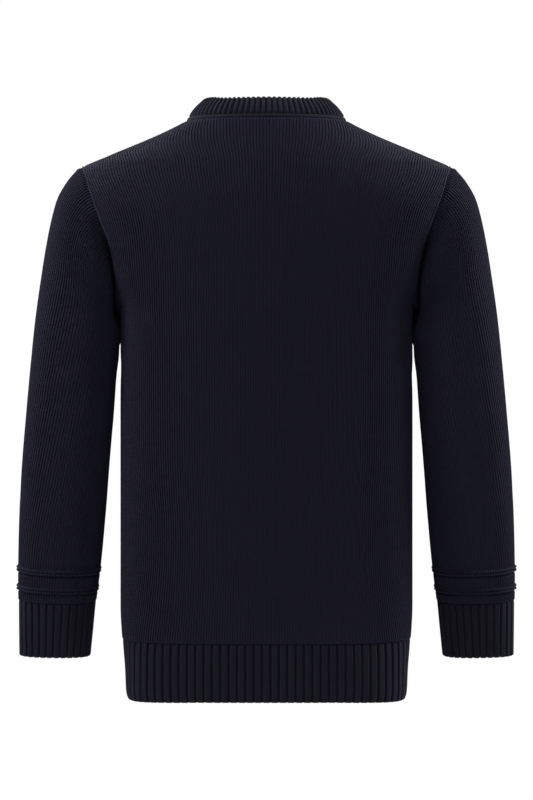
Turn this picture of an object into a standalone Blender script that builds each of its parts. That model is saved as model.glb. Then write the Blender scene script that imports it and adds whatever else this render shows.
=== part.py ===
"""Knitted crew neck sweater in the form it has when it is worn, with nothing inside it.

Metres, +Z up. The front of the garment faces -Y and its back faces +Y. The origin is the middle of
the neck at the height of the shoulder neck points, where the shoulders of the wearer carry it.
Back, front, two sleeves, two cuffs, two hem ribs and one neck rib are knitted, then linked edge to
edge. Each is one closed wall of cloth, and a seam is a gap of SEAM_GAP, or a little more round the
neck and under the arms.
"""

import math

import bpy
import numpy as np

# Driving dimensions
BODY_LENGTH = 0.700          # shoulder neck point to the bottom of the hem rib
HEM_RIB_HEIGHT = 0.0697
CUFF_HEIGHT = 0.0697
NECK_HALF_WIDTH = 0.0976     # centre line to the shoulder neck point
FRONT_NECK_DROP = 0.075      # neck point down to the front neck seam
NAPE_DROP = 0.0025           # neck points down to the middle of the back neck seam
NECK_SQUARENESS = 2.05       # how far the neckline is from an ellipse, which is 2
SHOULDER_TIP_X = 0.2245
SHOULDER_TIP_Z = -0.0555
UNDERARM_Z = -0.232
ARMHOLE_BACK_BULGE = 0.066   # how far the armhole reaches back and forward of the shoulder line
ARMHOLE_FRONT_BULGE = 0.069
ARMHOLE_SQUARENESS = 2.3

CLOTH = 0.0026               # one layer of the plain knit
RIB_CLOTH = 0.0026           # rib cloth at the bottom of a furrow
NECK_RIB_CLOTH = 0.0034      # the neck rib is a doubled band
RIB_RAISE = 0.0013           # a rib stands this much above the furrow beside it
NECK_RIB_RAISE = 0.0011
WELT_RAISE = 0.0016
WELT_HEIGHT = 0.009
WELT_CENTRES_Z = (-0.5490, -0.5722)
WELT_SECTION = ((-0.5, 0.0), (-0.22, 0.85), (0.22, 0.85), (0.5, 0.0))  # shares of height and raise
RIB_CREST = (0.22, 0.78)     # where a rib's flat crest starts and ends, between two furrows
SEAM_GAP = 0.0003
NECK_SEAM_GAP = 0.0006       # wider, because the panels' necklines are made of straight runs
UNDERARM_CLEARANCE = 0.0010  # the sleeve hangs this far off the body's side below the underarm

HEM_RIBS = {"back": 47, "front": 49}
CUFF_RIBS = 28
NECK_RIBS = 92

PANEL_COLUMNS = 20
SIDE_ROWS = 7                # panel rows up the side seam
ARMHOLE_STEPS = 12           # panel rows along half an armhole, and half the sleeve's columns
SHOULDER_ROWS = 4
NECK_ROWS = 3
RIB_ROWS = 2
POINTS_PER_RIB = 3
POINTS_PER_NECK_RIB = 2

# The body's outside, ring by ring: half widths and depths from the shoulder line, and how square
# the ring is (2 is an ellipse). Heights above UNDERARM_Z run inside the armhole up to the tip.
TORSO_COLUMNS = ("height", "half_width", "back_depth", "front_depth", "squareness")
TORSO_ROWS = (
    (-0.7200, 0.1718, 0.0920, 0.1090, 4.10),
    (-0.7000, 0.1722, 0.0920, 0.1090, 4.10),
    (-0.6580, 0.1735, 0.0920, 0.1100, 3.80),
    (-0.6300, 0.1757, 0.0920, 0.1100, 3.40),
    (-0.5950, 0.1780, 0.0925, 0.1100, 3.00),
    (-0.5000, 0.1783, 0.0940, 0.1110, 2.60),
    (-0.4000, 0.1783, 0.0980, 0.1140, 2.60),
    (-0.3000, 0.1783, 0.1040, 0.1190, 2.60),
    (-0.2320, 0.1783, 0.1085, 0.1210, 2.60),
    (-0.2140, 0.1844, 0.1095, 0.1215, 2.60),
    (-0.1965, 0.1914, 0.1100, 0.1215, 2.70),
    (-0.1766, 0.1990, 0.1105, 0.1210, 2.75),
    (-0.1600, 0.2036, 0.1110, 0.1200, 2.80),
    (-0.1455, 0.2085, 0.1115, 0.1185, 2.80),
    (-0.1310, 0.2145, 0.1115, 0.1160, 2.80),
    (-0.1140, 0.2203, 0.1115, 0.1130, 2.75),
    (-0.0965, 0.2263, 0.1105, 0.1075, 2.60),
    (-0.0810, 0.2300, 0.1090, 0.1010, 2.40),
    (-0.0680, 0.2300, 0.1070, 0.0935, 2.20),
    (-0.0555, 0.2245, 0.1045, 0.0845, 2.05),
    (-0.0480, 0.2095, 0.1025, 0.0785, 2.00),
    (-0.0380, 0.1832, 0.0995, 0.0700, 2.00),
    (-0.0283, 0.1592, 0.0965, 0.0610, 2.00),
    (-0.0185, 0.1358, 0.0935, 0.0525, 2.05),
    (-0.0086, 0.1145, 0.0905, 0.0450, 2.10),
    (0.0000, NECK_HALF_WIDTH, 0.0880, 0.0400, 2.15),
    (0.0060, 0.0860, 0.0860, 0.0370, 2.15),
)

# One arm, from the armhole to the end of the cuff: the line along the top and outside of the arm,
# the line under it, where the arm hangs between front and back, its half depth, and how much
# lower the back of each ring is than its middle, because the arm leans forward.
SLEEVE_COLUMNS = (
    "outer_x", "outer_z", "inner_x", "inner_z", "middle_y", "half_depth", "drop", "squareness",
)
SLEEVE_ROWS = (
    (SHOULDER_TIP_X, SHOULDER_TIP_Z, 0.1792, UNDERARM_Z, -0.001, 0.066, 0.00, 2.2),
    (0.2310, -0.0588, 0.1791, -0.2335, -0.001, 0.067, 0.00, 2.2),
    (0.2400, -0.0677, 0.1790, -0.2360, -0.001, 0.069, 0.00, 2.2),
    (0.2480, -0.0790, 0.1790, -0.2385, -0.001, 0.070, 0.00, 2.2),
    (0.2560, -0.0940, 0.1790, -0.2415, -0.001, 0.070, 0.00, 2.2),
    (0.2625, -0.1170, 0.1790, -0.2450, -0.001, 0.070, 0.00, 2.2),
    (0.2700, -0.1540, 0.1790, -0.2510, -0.001, 0.069, 0.01, 2.2),
    (0.2765, -0.1950, 0.1790, -0.2600, -0.001, 0.067, 0.02, 2.2),
    (0.2830, -0.2400, 0.1793, -0.2740, -0.002, 0.065, 0.03, 2.2),
    (0.2895, -0.3000, 0.1846, -0.3100, -0.004, 0.062, 0.04, 2.2),
    (0.2955, -0.3600, 0.1888, -0.3660, -0.008, 0.059, 0.05, 2.2),
    (0.3012, -0.4220, 0.1947, -0.4260, -0.013, 0.056, 0.06, 2.2),
    (0.3050, -0.4800, 0.2003, -0.4835, -0.019, 0.052, 0.06, 2.2),
    (0.3071, -0.5300, 0.2052, -0.5330, -0.025, 0.047, 0.06, 2.2),
    (0.3079, -0.5600, 0.2087, -0.5625, -0.028, 0.042, 0.06, 2.2),
    (0.3080, -0.5900, 0.2127, -0.5920, -0.031, 0.036, 0.06, 2.3),
    (0.3082, -0.6170, 0.2155, -0.6190, -0.034, 0.032, 0.06, 2.4),
    (0.3083, -0.6577, 0.2198, -0.6592, -0.038, 0.028, 0.06, 2.5),
)
CUFF_SEAM_Z = SLEEVE_ROWS[-1][1] + CUFF_HEIGHT
ARMHOLE_FADE = 0.10          # this far down the arm, the armhole's own bend is gone

# The neck rib's profile from its seam: how far it leans inwards and how far it rises.
NECK_COLUMNS = ("inwards", "rise")
NECK_PROFILE = (
    (0.0000, 0.0000),
    (0.0042, 0.0082),
    (0.0112, 0.0169),
    (0.0178, 0.0226),
    (0.0222, 0.0264),
)

NAVY = (0.0093, 0.0091, 0.0160)
DARK_NAVY = (0.0078, 0.0076, 0.0135)

RING_SAMPLES = 241
HEIGHT_SAMPLES = 181
NECK_SAMPLES = 121
ARMHOLE_SAMPLES = 193
CENTRE = np.array([0.0, 0.0, -0.35])     # a point inside the body, which normals face away from


def column(rows, names, name):
    """One named column of a table as an array."""
    return np.array([row[names.index(name)] for row in rows])


def smooth(x, xs, ys):
    """A curve through the points (xs, ys) that bends smoothly and never overshoots them."""
    widths, slopes = np.diff(xs), np.diff(ys) / np.diff(xs)
    tangents = np.empty(len(xs))
    tangents[0], tangents[-1] = slopes[0], slopes[-1]
    for i in range(1, len(xs) - 1):
        before, after = slopes[i - 1], slopes[i]
        if before * after <= 0:
            tangents[i] = 0.0
        else:
            near, far = 2 * widths[i] + widths[i - 1], widths[i] + 2 * widths[i - 1]
            tangents[i] = (near + far) / (near / before + far / after)
    x = np.clip(x, xs[0], xs[-1])
    i = np.clip(np.searchsorted(xs, x, side="right") - 1, 0, len(widths) - 1)
    t = (x - xs[i]) / widths[i]
    start = ys[i] * (1 + 2 * t) * (1 - t) ** 2 + tangents[i] * widths[i] * t * (1 - t) ** 2
    end = ys[i + 1] * t * t * (3 - 2 * t) + tangents[i + 1] * widths[i] * t * t * (t - 1)
    return start + end


def rounded_square(angle, squareness):
    """The cosine and sine of a circle that is pushed out towards a square. 2 leaves it round."""
    cosine, sine = np.cos(angle), np.sin(angle)
    powers = np.abs(cosine) ** squareness + np.abs(sine) ** squareness
    return cosine * powers ** (-1 / squareness), sine * powers ** (-1 / squareness)


def torso_value(height, name):
    heights = column(TORSO_ROWS, TORSO_COLUMNS, "height")
    return smooth(height, heights, column(TORSO_ROWS, TORSO_COLUMNS, name))


def half_ring(height, side, angle):
    """Points of the body's ring, from the +X side (angle 0) over the back or front to -X."""
    across, out = rounded_square(angle, torso_value(height, "squareness"))
    facing = 1 if side == "back" else -1
    x = torso_value(height, "half_width") * across
    return x, facing * torso_value(height, side + "_depth") * out


class TorsoSide:
    """The back or the front of the body, addressed by height and by share of the way round."""

    def __init__(self, side):
        self.side = side
        heights = column(TORSO_ROWS, TORSO_COLUMNS, "height")
        self.heights = np.linspace(heights[0], heights[-1], HEIGHT_SAMPLES)
        angles = np.linspace(0, math.pi, RING_SAMPLES)
        self.shares = np.linspace(0, 1, RING_SAMPLES)
        self.angle_table = np.empty((HEIGHT_SAMPLES, RING_SAMPLES))
        self.lengths = np.empty(HEIGHT_SAMPLES)
        for i, height in enumerate(self.heights):
            x, y = half_ring(np.full(RING_SAMPLES, height), side, angles)
            run = np.concatenate([[0], np.cumsum(np.hypot(np.diff(x), np.diff(y)))])
            self.lengths[i] = run[-1]
            self.angle_table[i] = np.interp(self.shares, run / run[-1], angles)

    def angle(self, height, share):
        row = np.interp(height, self.heights, np.arange(HEIGHT_SAMPLES))
        place = np.clip(share, 0, 1) * (RING_SAMPLES - 1)
        i = np.minimum(row.astype(int), HEIGHT_SAMPLES - 2)
        j = np.minimum(place.astype(int), RING_SAMPLES - 2)
        up, along = row - i, place - j
        low = self.angle_table[i, j] * (1 - along) + self.angle_table[i, j + 1] * along
        high = self.angle_table[i + 1, j] * (1 - along) + self.angle_table[i + 1, j + 1] * along
        return low * (1 - up) + high * up

    def point(self, share, height):
        share, height = np.broadcast_arrays(np.asarray(share, float), np.asarray(height, float))
        x, y = half_ring(height, self.side, self.angle(height, share))
        return np.stack([x, y, height], axis=-1)

    def length(self, height):
        return np.interp(height, self.heights, self.lengths)

    def share_at(self, height, axis, value):
        """The share of the way round, up to the middle, where |x| or |y| has this value."""
        shares = np.linspace(0, 0.5, RING_SAMPLES)
        points = np.abs(self.point(shares, height)[:, axis])
        if axis == 0:
            return np.interp(value, points[::-1], shares[::-1])
        return np.interp(value, points, shares)


def armhole(turn):
    """(height, distance from the shoulder line) round the armhole. Turn 0 is the shoulder tip and
    0.5 the underarm."""
    up, out = rounded_square(2 * math.pi * np.asarray(turn, float), ARMHOLE_SQUARENESS)
    bulge = np.where(out >= 0, ARMHOLE_BACK_BULGE, ARMHOLE_FRONT_BULGE)
    middle, half = (SHOULDER_TIP_Z + UNDERARM_Z) / 2, (SHOULDER_TIP_Z - UNDERARM_Z) / 2
    return middle + half * up, bulge * np.abs(out)


def armhole_loop(turn):
    """The sleeve's edge: the armhole seam on the +X side, held off the body towards the underarm."""
    heights, reaches = armhole(turn)
    lower = (1 - np.cos(2 * math.pi * turn)) / 2
    points = np.empty((len(heights), 3))
    for i, (height, reach) in enumerate(zip(heights, reaches)):
        side = BACK if math.sin(2 * math.pi * turn[i]) >= 0 else FRONT
        share = side.share_at(height, 1, reach)
        outward = torso_normals(side, np.array([share]), np.array([height]))[0]
        points[i] = side.point(share, height) + UNDERARM_CLEARANCE * lower[i] * outward
    return points


def neckline(side, share):
    """(share round the body, height) of the neck seam at a share of the panel's top edge."""
    across, down = rounded_square(math.pi * share, NECK_SQUARENESS)
    if side is BACK:
        return share, -NAPE_DROP * float(down)
    height = -FRONT_NECK_DROP * float(down)
    near = float(side.share_at(height, 0, NECK_HALF_WIDTH * abs(across)))
    return (near if share <= 0.5 else 1 - near), height


def panel_edge(side):
    """(height, share) where each row of a panel meets its edge: up the side seam, round the
    armhole and along the shoulder seam."""
    bottom = -BODY_LENGTH + HEM_RIB_HEIGHT
    edge = [(height, 0.0) for height in np.linspace(bottom, UNDERARM_Z, SIDE_ROWS + 1)[:-1]]
    for turn in np.linspace(0.5, 0, ARMHOLE_STEPS + 1):
        height, reach = armhole(turn if side is BACK else 1 - turn)
        edge.append((float(height), float(side.share_at(height, 1, reach))))
    edge += [(height, 0.0) for height in np.linspace(SHOULDER_TIP_Z, 0, SHOULDER_ROWS + 1)[1:]]
    return edge


def panel_places(side):
    """(shares, heights) of a panel's points. Its rows are level up to the underarm. Above it
    they spread out evenly away from the armhole, and bend towards the neckline."""
    edge = panel_edge(side)
    upper = np.clip((np.arange(len(edge)) - SIDE_ROWS) / (len(edge) - 1 - SIDE_ROWS), 0, 1)
    columns = np.linspace(0, 1, PANEL_COLUMNS + 1)
    tops = [neckline(side, share) for share in columns]
    shares = np.empty((len(edge), len(columns)))
    heights = np.empty_like(shares)
    for i, (edge_height, edge_share) in enumerate(edge):
        inset = edge_share + SEAM_GAP / 2 / float(side.length(edge_height))
        even_height = UNDERARM_Z * (1 - upper[i]) if i > SIDE_ROWS else edge_height
        for j, share in enumerate(columns):
            top_share, top_height = tops[j]
            height = edge_height + (even_height - edge_height) * math.sin(math.pi * share)
            rise = np.clip(1 - height / UNDERARM_Z, 0, 1)
            pull = rise * rise * (3 - 2 * rise)
            shares[i, j] = inset * (1 - 2 * share) + share + pull * (top_share - share)
            heights[i, j] = height + pull * top_height
    return shares, heights


def normals(surface, u, v, step_u, step_v):
    """Unit normals of a surface function at u, v, from small steps to each side."""
    along_u = surface(u + step_u, v) - surface(u - step_u, v)
    along_v = surface(u, v + step_v) - surface(u, v - step_v)
    found = np.cross(along_u, along_v)
    return found / np.linalg.norm(found, axis=-1, keepdims=True)


def torso_normals(side, shares, heights):
    """Outward normals of the body. Steps stay on the side that the point is on."""
    step = 0.002
    inside = np.clip(shares, step, 1 - step)
    below_top = np.minimum(heights, side.heights[-1] - step)
    found = normals(side.point, inside, below_top, step, step)
    # On the side and shoulder seams the ring runs straight from front to back.
    on_seam = (shares < 2 * step) | (shares > 1 - 2 * step)
    found[..., 1] = np.where(on_seam, 0, found[..., 1])
    found /= np.linalg.norm(found, axis=-1, keepdims=True)
    outward = np.sum(found * (side.point(shares, heights) - CENTRE), axis=-1, keepdims=True)
    return np.where(outward >= 0, found, -found)


def sleeve_reach():
    """Length along the outside of the arm at each row of the sleeve table."""
    x = column(SLEEVE_ROWS, SLEEVE_COLUMNS, "outer_x")
    z = column(SLEEVE_ROWS, SLEEVE_COLUMNS, "outer_z")
    return np.concatenate([[0], np.cumsum(np.hypot(np.diff(x), np.diff(z)))])


def sleeve_value(reach, name):
    return smooth(reach, sleeve_reach(), column(SLEEVE_ROWS, SLEEVE_COLUMNS, name))


def reach_at_height(height):
    return float(np.interp(-height, -column(SLEEVE_ROWS, SLEEVE_COLUMNS, "outer_z"), sleeve_reach()))


def plain_ring(turn, reach):
    """The sleeve's ring: turn 0 is the outside of the arm, 0.25 its back, 0.5 its inside."""
    value = {name: sleeve_value(reach, name) for name in SLEEVE_COLUMNS}
    across, back = rounded_square(2 * math.pi * turn, value["squareness"])
    back = value["half_depth"] * back
    x = (value["outer_x"] * (1 + across) + value["inner_x"] * (1 - across)) / 2
    z = (value["outer_z"] * (1 + across) + value["inner_z"] * (1 - across)) / 2
    return np.stack([x, value["middle_y"] + back, z - value["drop"] * back], axis=-1)


class Sleeve:
    """The surface of the +X sleeve and its cuff, from the armhole to the wrist."""

    def __init__(self):
        self.turns = np.linspace(0, 1, ARMHOLE_SAMPLES)
        self.bend = armhole_loop(self.turns) - plain_ring(self.turns, np.zeros(len(self.turns)))

    def point(self, turn, reach):
        turn, reach = np.broadcast_arrays(np.asarray(turn, float), np.asarray(reach, float))
        fade = np.clip(1 - reach / ARMHOLE_FADE, 0, 1) ** 2
        bend = [np.interp(turn % 1.0, self.turns, self.bend[:, axis]) for axis in range(3)]
        return plain_ring(turn, reach) + fade[..., None] * np.stack(bend, axis=-1)

    def even_turns(self, reach, count):
        """Turns that cut this ring into equal lengths of cloth."""
        fine = np.linspace(0, 1, RING_SAMPLES)
        ring = self.point(fine, np.full(RING_SAMPLES, reach))
        run = np.concatenate([[0], np.cumsum(np.linalg.norm(np.diff(ring, axis=0), axis=1))])
        return np.interp(np.arange(count) / count, run / run[-1], fine)


def sleeve_normals(turns, reaches):
    """Outward normals of the sleeve, from steps that stay clear of its two ends."""
    step = 0.004
    safe = np.clip(reaches, step, sleeve_reach()[-1] - step)
    return -normals(SLEEVE.point, turns, safe, step, step)


def wall(name, outer, inner, closed, material):
    """A closed wall of cloth between a grid of outer points and a grid of inner points.

    The outer grid may have several columns to each inner one, as where ribs stand on a plain
    inside, and more rows where the grid closes on itself.
    """
    rows, columns = outer.shape[:2]
    inner_rows, inner_columns = inner.shape[:2]
    spans = columns if closed else columns - 1
    inner_spans = inner_columns if closed else inner_columns - 1
    share = spans // inner_spans
    first_inner = rows * columns

    def out(row, col):
        return row * columns + col % columns

    def into(row, col):
        return first_inner + row * inner_columns + col % inner_columns

    faces = []
    for row in range(rows - 1):
        for col in range(spans):
            faces.append((out(row, col), out(row, col + 1), out(row + 1, col + 1), out(row + 1, col)))
    for row in range(inner_rows - 1):
        for col in range(inner_spans):
            faces.append(
                (into(row, col), into(row + 1, col), into(row + 1, col + 1), into(row, col + 1))
            )
    for col in range(inner_spans):
        bottom = [out(0, col * share + k) for k in range(share, -1, -1)]
        faces.append((*bottom, into(0, col), into(0, col + 1)))
        top = [out(rows - 1, col * share + k) for k in range(share + 1)]
        faces.append((*top, into(inner_rows - 1, col + 1), into(inner_rows - 1, col)))
    if not closed:
        for row in range(rows - 1):
            faces.append((out(row, 0), out(row + 1, 0), into(row + 1, 0), into(row, 0)))
            last, last_inner = columns - 1, inner_columns - 1
            faces.append(
                (out(row + 1, last), out(row, last), into(row, last_inner), into(row + 1, last_inner))
            )
    points = np.concatenate([outer.reshape(-1, 3), inner.reshape(-1, 3)])
    mesh = bpy.data.meshes.new(name)
    mesh.from_pydata([tuple(map(float, p)) for p in points], [], faces)
    mesh.validate()
    mesh.shade_smooth()
    mesh.set_sharp_from_angle(angle=math.radians(50))
    mesh.materials.append(material)
    made = bpy.data.objects.new(name, mesh)
    PARTS.objects.link(made)
    return made


def rib_shares(count):
    """Where the outer points of ribs lie, in rib widths, and which of them stand raised.

    Each rib is a flat crest as wide as two stitches beside a furrow as wide as one.
    """
    places, raised = [], []
    for rib in range(count):
        places += [rib, rib + RIB_CREST[0], rib + RIB_CREST[1]]
        raised += [0.0, 1.0, 1.0]
    return np.array(places + [count]), np.array(raised + [0.0])


def panel(side):
    """The back or the front: one wall from the hem rib to the shoulder seams and the neckline."""
    shares, heights = panel_places(side)
    outer = side.point(shares, heights)
    inner = outer - CLOTH * torso_normals(side, shares, heights)
    if side is FRONT:
        outer, inner = outer[:, ::-1], inner[:, ::-1]
    return wall("panel_" + side.side, outer, inner, False, MATERIALS["knit"])


def hem_rib(side):
    """The rib below one panel, its ribs raised over a plain inside."""
    bottom, top = -BODY_LENGTH, -BODY_LENGTH + HEM_RIB_HEIGHT - SEAM_GAP
    heights = np.linspace(bottom, top, RIB_ROWS + 1)[:, None]
    ribs = HEM_RIBS[side.side]
    places, raised = rib_shares(ribs)
    edge = SEAM_GAP / 2 / float(side.length(bottom))
    shares = edge + (1 - 2 * edge) * places / ribs
    shares, heights = np.broadcast_arrays(shares[None, :], heights)
    outward = torso_normals(side, shares, heights)
    surface = side.point(shares, heights)
    outer = surface - RIB_RAISE * (1 - raised)[None, :, None] * outward
    inner = (surface - (RIB_RAISE + RIB_CLOTH) * outward)[:, ::POINTS_PER_RIB]
    if side is FRONT:
        outer, inner = outer[:, ::-1], inner[:, ::-1]
    return wall("hem_rib_" + side.side, outer, inner, False, MATERIALS["rib"])


def mirrored(grid, hand):
    """A grid of the +X arm, or its mirror image for the -X arm, still facing outwards."""
    if hand == "left":
        return grid
    flipped = grid[:, ::-1].copy()
    flipped[..., 0] *= -1
    return flipped


def sleeve_rows():
    """(reaches, raises) of the sleeve's outer rows, with a rounded ridge at each welt."""
    tube = list(sleeve_reach()[:-3]) + [reach_at_height(CUFF_SEAM_Z)]
    reaches = {reach: 0.0 for reach in tube}
    for centre in WELT_CENTRES_Z:
        middle = reach_at_height(centre)
        for reach in [r for r in reaches if abs(r - middle) < WELT_HEIGHT]:
            del reaches[reach]
        for offset, raise_share in WELT_SECTION:
            reaches[middle + offset * WELT_HEIGHT] = WELT_RAISE * raise_share
    ordered = sorted(reaches)
    return np.array(ordered), np.array([reaches[reach] for reach in ordered])


def sleeve(hand):
    """One sleeve: a tube from the armhole to the cuff, with two raised welts above the cuff."""
    turns = np.arange(2 * ARMHOLE_STEPS)[None, :] / (2 * ARMHOLE_STEPS)
    reaches, raises = sleeve_rows()
    u, v = np.broadcast_arrays(turns, reaches[:, None])
    surface, outward = SLEEVE.point(u, v), sleeve_normals(u, v)
    along = SLEEVE.point(turns[0], reaches[1]) - surface[0]
    lift = SEAM_GAP * along / np.linalg.norm(along, axis=-1, keepdims=True)
    outer = surface + raises[:, None, None] * outward
    inner = (surface - CLOTH * outward)[raises == 0.0]
    outer[0] += lift
    inner[0] += lift
    outer, inner = mirrored(outer, hand), mirrored(inner, hand)
    return wall("sleeve_" + hand, outer[::-1], inner[::-1], True, MATERIALS["knit"])


def cuff(hand):
    """One cuff: a ribbed tube below the sleeve."""
    top, bottom = reach_at_height(CUFF_SEAM_Z) + SEAM_GAP, sleeve_reach()[-1]
    places, raised = rib_shares(CUFF_RIBS)
    reaches = np.linspace(top, bottom, RIB_ROWS + 1)
    turns = np.stack([
        np.interp(places[:-1] / CUFF_RIBS, np.arange(CUFF_RIBS + 1) / CUFF_RIBS,
                  np.append(SLEEVE.even_turns(reach, CUFF_RIBS), 1.0))
        for reach in reaches
    ])
    reaches = np.broadcast_to(reaches[:, None], turns.shape)
    surface, outward = SLEEVE.point(turns, reaches), sleeve_normals(turns, reaches)
    outer = surface - RIB_RAISE * (1 - raised)[None, :-1, None] * outward
    inner = (surface - (RIB_RAISE + RIB_CLOTH) * outward)[:, ::POINTS_PER_RIB]
    if hand == "right":
        outer = np.roll(mirrored(outer, hand), 1, axis=1)
        inner = np.roll(mirrored(inner, hand), 1, axis=1)
    return wall("cuff_" + hand, outer[::-1], inner[::-1], True, MATERIALS["rib"])


def neck_base(count):
    """The neck seam, round from the +X shoulder over the back, as equally spaced points."""
    fine = []
    there = np.linspace(0, 1, NECK_SAMPLES)
    for side, shares in ((BACK, there), (FRONT, there[::-1])):
        for share in shares[:-1]:
            place, height = neckline(side, share)
            fine.append(side.point(place, height))
    fine = np.array(fine + fine[:1])
    run = np.concatenate([[0], np.cumsum(np.linalg.norm(np.diff(fine, axis=0), axis=1))])
    even = np.arange(count) / count * run[-1]
    return np.stack([np.interp(even, run, fine[:, axis]) for axis in range(3)], axis=-1)


def neck_rib():
    """The neck rib: a doubled ribbed band that rises from the neckline and leans inwards."""
    base = neck_base(NECK_RIBS * POINTS_PER_NECK_RIB)
    tangent = np.roll(base, -2, axis=0) - np.roll(base, 2, axis=0)
    inwards = np.stack([-tangent[:, 1], tangent[:, 0], np.zeros(len(base))], axis=-1)
    inwards /= np.linalg.norm(inwards, axis=-1, keepdims=True)
    leans, rises = (column(NECK_PROFILE, NECK_COLUMNS, name) for name in NECK_COLUMNS)
    run = np.concatenate([[0], np.cumsum(np.hypot(np.diff(leans), np.diff(rises)))])
    stops = np.linspace(NECK_SEAM_GAP, run[-1], NECK_ROWS + 1)
    up = np.array([0.0, 0.0, 1.0])
    step = 0.0005

    def at(distance):
        lean, rise = smooth(distance, run, leans), smooth(distance, run, rises)
        return base + lean * inwards + rise * up

    surface = np.stack([at(stop) for stop in stops])
    along = np.stack([at(min(s + step, run[-1])) - at(max(s - step, 0)) for s in stops])
    around = np.roll(surface, -1, axis=1) - np.roll(surface, 1, axis=1)
    outward = np.cross(around, along)
    outward /= np.linalg.norm(outward, axis=-1, keepdims=True)
    furrow = np.tile([1.0, 0.0], NECK_RIBS)
    outer = surface - NECK_RIB_RAISE * furrow[None, :, None] * outward
    inner = (surface - (NECK_RIB_RAISE + NECK_RIB_CLOTH) * outward)[:, ::POINTS_PER_NECK_RIB]
    return wall("neck_rib", outer, inner, True, MATERIALS["rib"])


def knit_material(name, colour):
    made = bpy.data.materials.new(name)
    made.use_nodes = True
    shader = made.node_tree.nodes["Principled BSDF"]
    shader.inputs["Base Color"].default_value = (*colour, 1.0)
    shader.inputs["Roughness"].default_value = 0.9
    shader.inputs["Metallic"].default_value = 0.0
    return made


for old in list(bpy.data.objects):
    bpy.data.objects.remove(old)
PARTS = bpy.data.collections.new("crew_neck_sweater")
bpy.context.scene.collection.children.link(PARTS)
MATERIALS = {"knit": knit_material("navy_knit", NAVY), "rib": knit_material("navy_rib", DARK_NAVY)}

BACK, FRONT = TorsoSide("back"), TorsoSide("front")
SLEEVE = Sleeve()
for torso_side in (BACK, FRONT):
    panel(torso_side)
    hem_rib(torso_side)
for arm in ("left", "right"):
    sleeve(arm)
    cuff(arm)
neck_rib()
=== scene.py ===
# %% [markdown]
# # A navy crew neck sweater, column of stitches by column of stitches
#
# A sweater is not one bag of cloth. It is a back, a front, two sleeves, two cuffs, two hem ribs and
# a neck rib, each knitted to shape and then linked edge to edge. This lesson dresses a fixed frame
# of nine plain walls with nine finer ones, made on the same form, whose surface is real knitting:
# every column of stitches (a wale) is a ridge of its own in the mesh.

# %% Load the fixed frame
import math

import bmesh
import bpy
import numpy as np
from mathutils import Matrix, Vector


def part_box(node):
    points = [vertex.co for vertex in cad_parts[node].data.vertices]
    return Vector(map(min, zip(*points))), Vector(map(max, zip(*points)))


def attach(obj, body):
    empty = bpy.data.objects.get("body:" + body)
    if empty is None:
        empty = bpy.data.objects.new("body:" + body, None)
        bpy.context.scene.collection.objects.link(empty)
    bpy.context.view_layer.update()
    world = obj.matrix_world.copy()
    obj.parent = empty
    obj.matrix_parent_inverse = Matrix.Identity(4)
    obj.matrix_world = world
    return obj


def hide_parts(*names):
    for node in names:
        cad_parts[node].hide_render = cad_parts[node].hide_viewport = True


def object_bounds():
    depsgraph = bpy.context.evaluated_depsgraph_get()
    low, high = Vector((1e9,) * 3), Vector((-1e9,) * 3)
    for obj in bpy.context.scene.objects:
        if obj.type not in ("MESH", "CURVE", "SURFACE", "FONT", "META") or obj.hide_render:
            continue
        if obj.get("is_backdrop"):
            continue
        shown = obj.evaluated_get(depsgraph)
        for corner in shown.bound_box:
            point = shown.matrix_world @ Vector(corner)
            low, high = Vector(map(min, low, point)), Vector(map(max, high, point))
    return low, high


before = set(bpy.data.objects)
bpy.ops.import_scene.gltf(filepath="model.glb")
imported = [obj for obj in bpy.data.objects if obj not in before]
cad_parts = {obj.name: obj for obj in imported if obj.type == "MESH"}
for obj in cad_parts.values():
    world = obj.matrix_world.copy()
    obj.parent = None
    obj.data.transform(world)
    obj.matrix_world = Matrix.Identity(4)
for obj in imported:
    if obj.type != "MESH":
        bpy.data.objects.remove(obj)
cad_box = [list(corner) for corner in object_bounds()]
print("frame nodes:", sorted(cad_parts))
print("frame box in mm:", [[round(1000 * v) for v in corner] for corner in cad_box])

# %% [markdown]
# ## The form
#
# The garment is filled out as if it were worn, with nothing inside. Its form could be sculpted or
# draped by a simulation. Here it is read from the same short tables of rings as the frame, because
# the knitting must sit where the frame's walls are. Each ring is an ellipse that may be pushed out
# a little towards a square. Some places depart from the frame by a few millimetres: the seam at
# the nape, the top of the neck band, the foot of the hem and the inside of the arms. The fold
# under each arm goes deeper.

# %% Sizes that the form is driven by
HEM_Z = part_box("hem_rib_back")[0].z          # bottom of the hem rib, 700 mm below the neck points
HEM_SEAM_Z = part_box("panel_back")[0].z
NECK_HALF_WIDTH = 0.0976
FRONT_NECK_DROP = 0.075
NAPE_DROP = 0.0053
NECK_SQUARENESS = 2.05
SHOULDER_TIP_X, SHOULDER_TIP_Z = 0.2245, -0.0555
UNDERARM_Z = -0.232
ARMHOLE_BULGE = {"back": 0.066, "front": 0.069}
ARMHOLE_SQUARENESS = 2.3
CLOTH = 0.0026
UNDERARM_CLEARANCE = 0.0010
NECK_SEAM_GAP = 0.0006
HALF_SEAM = 0.00015

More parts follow.
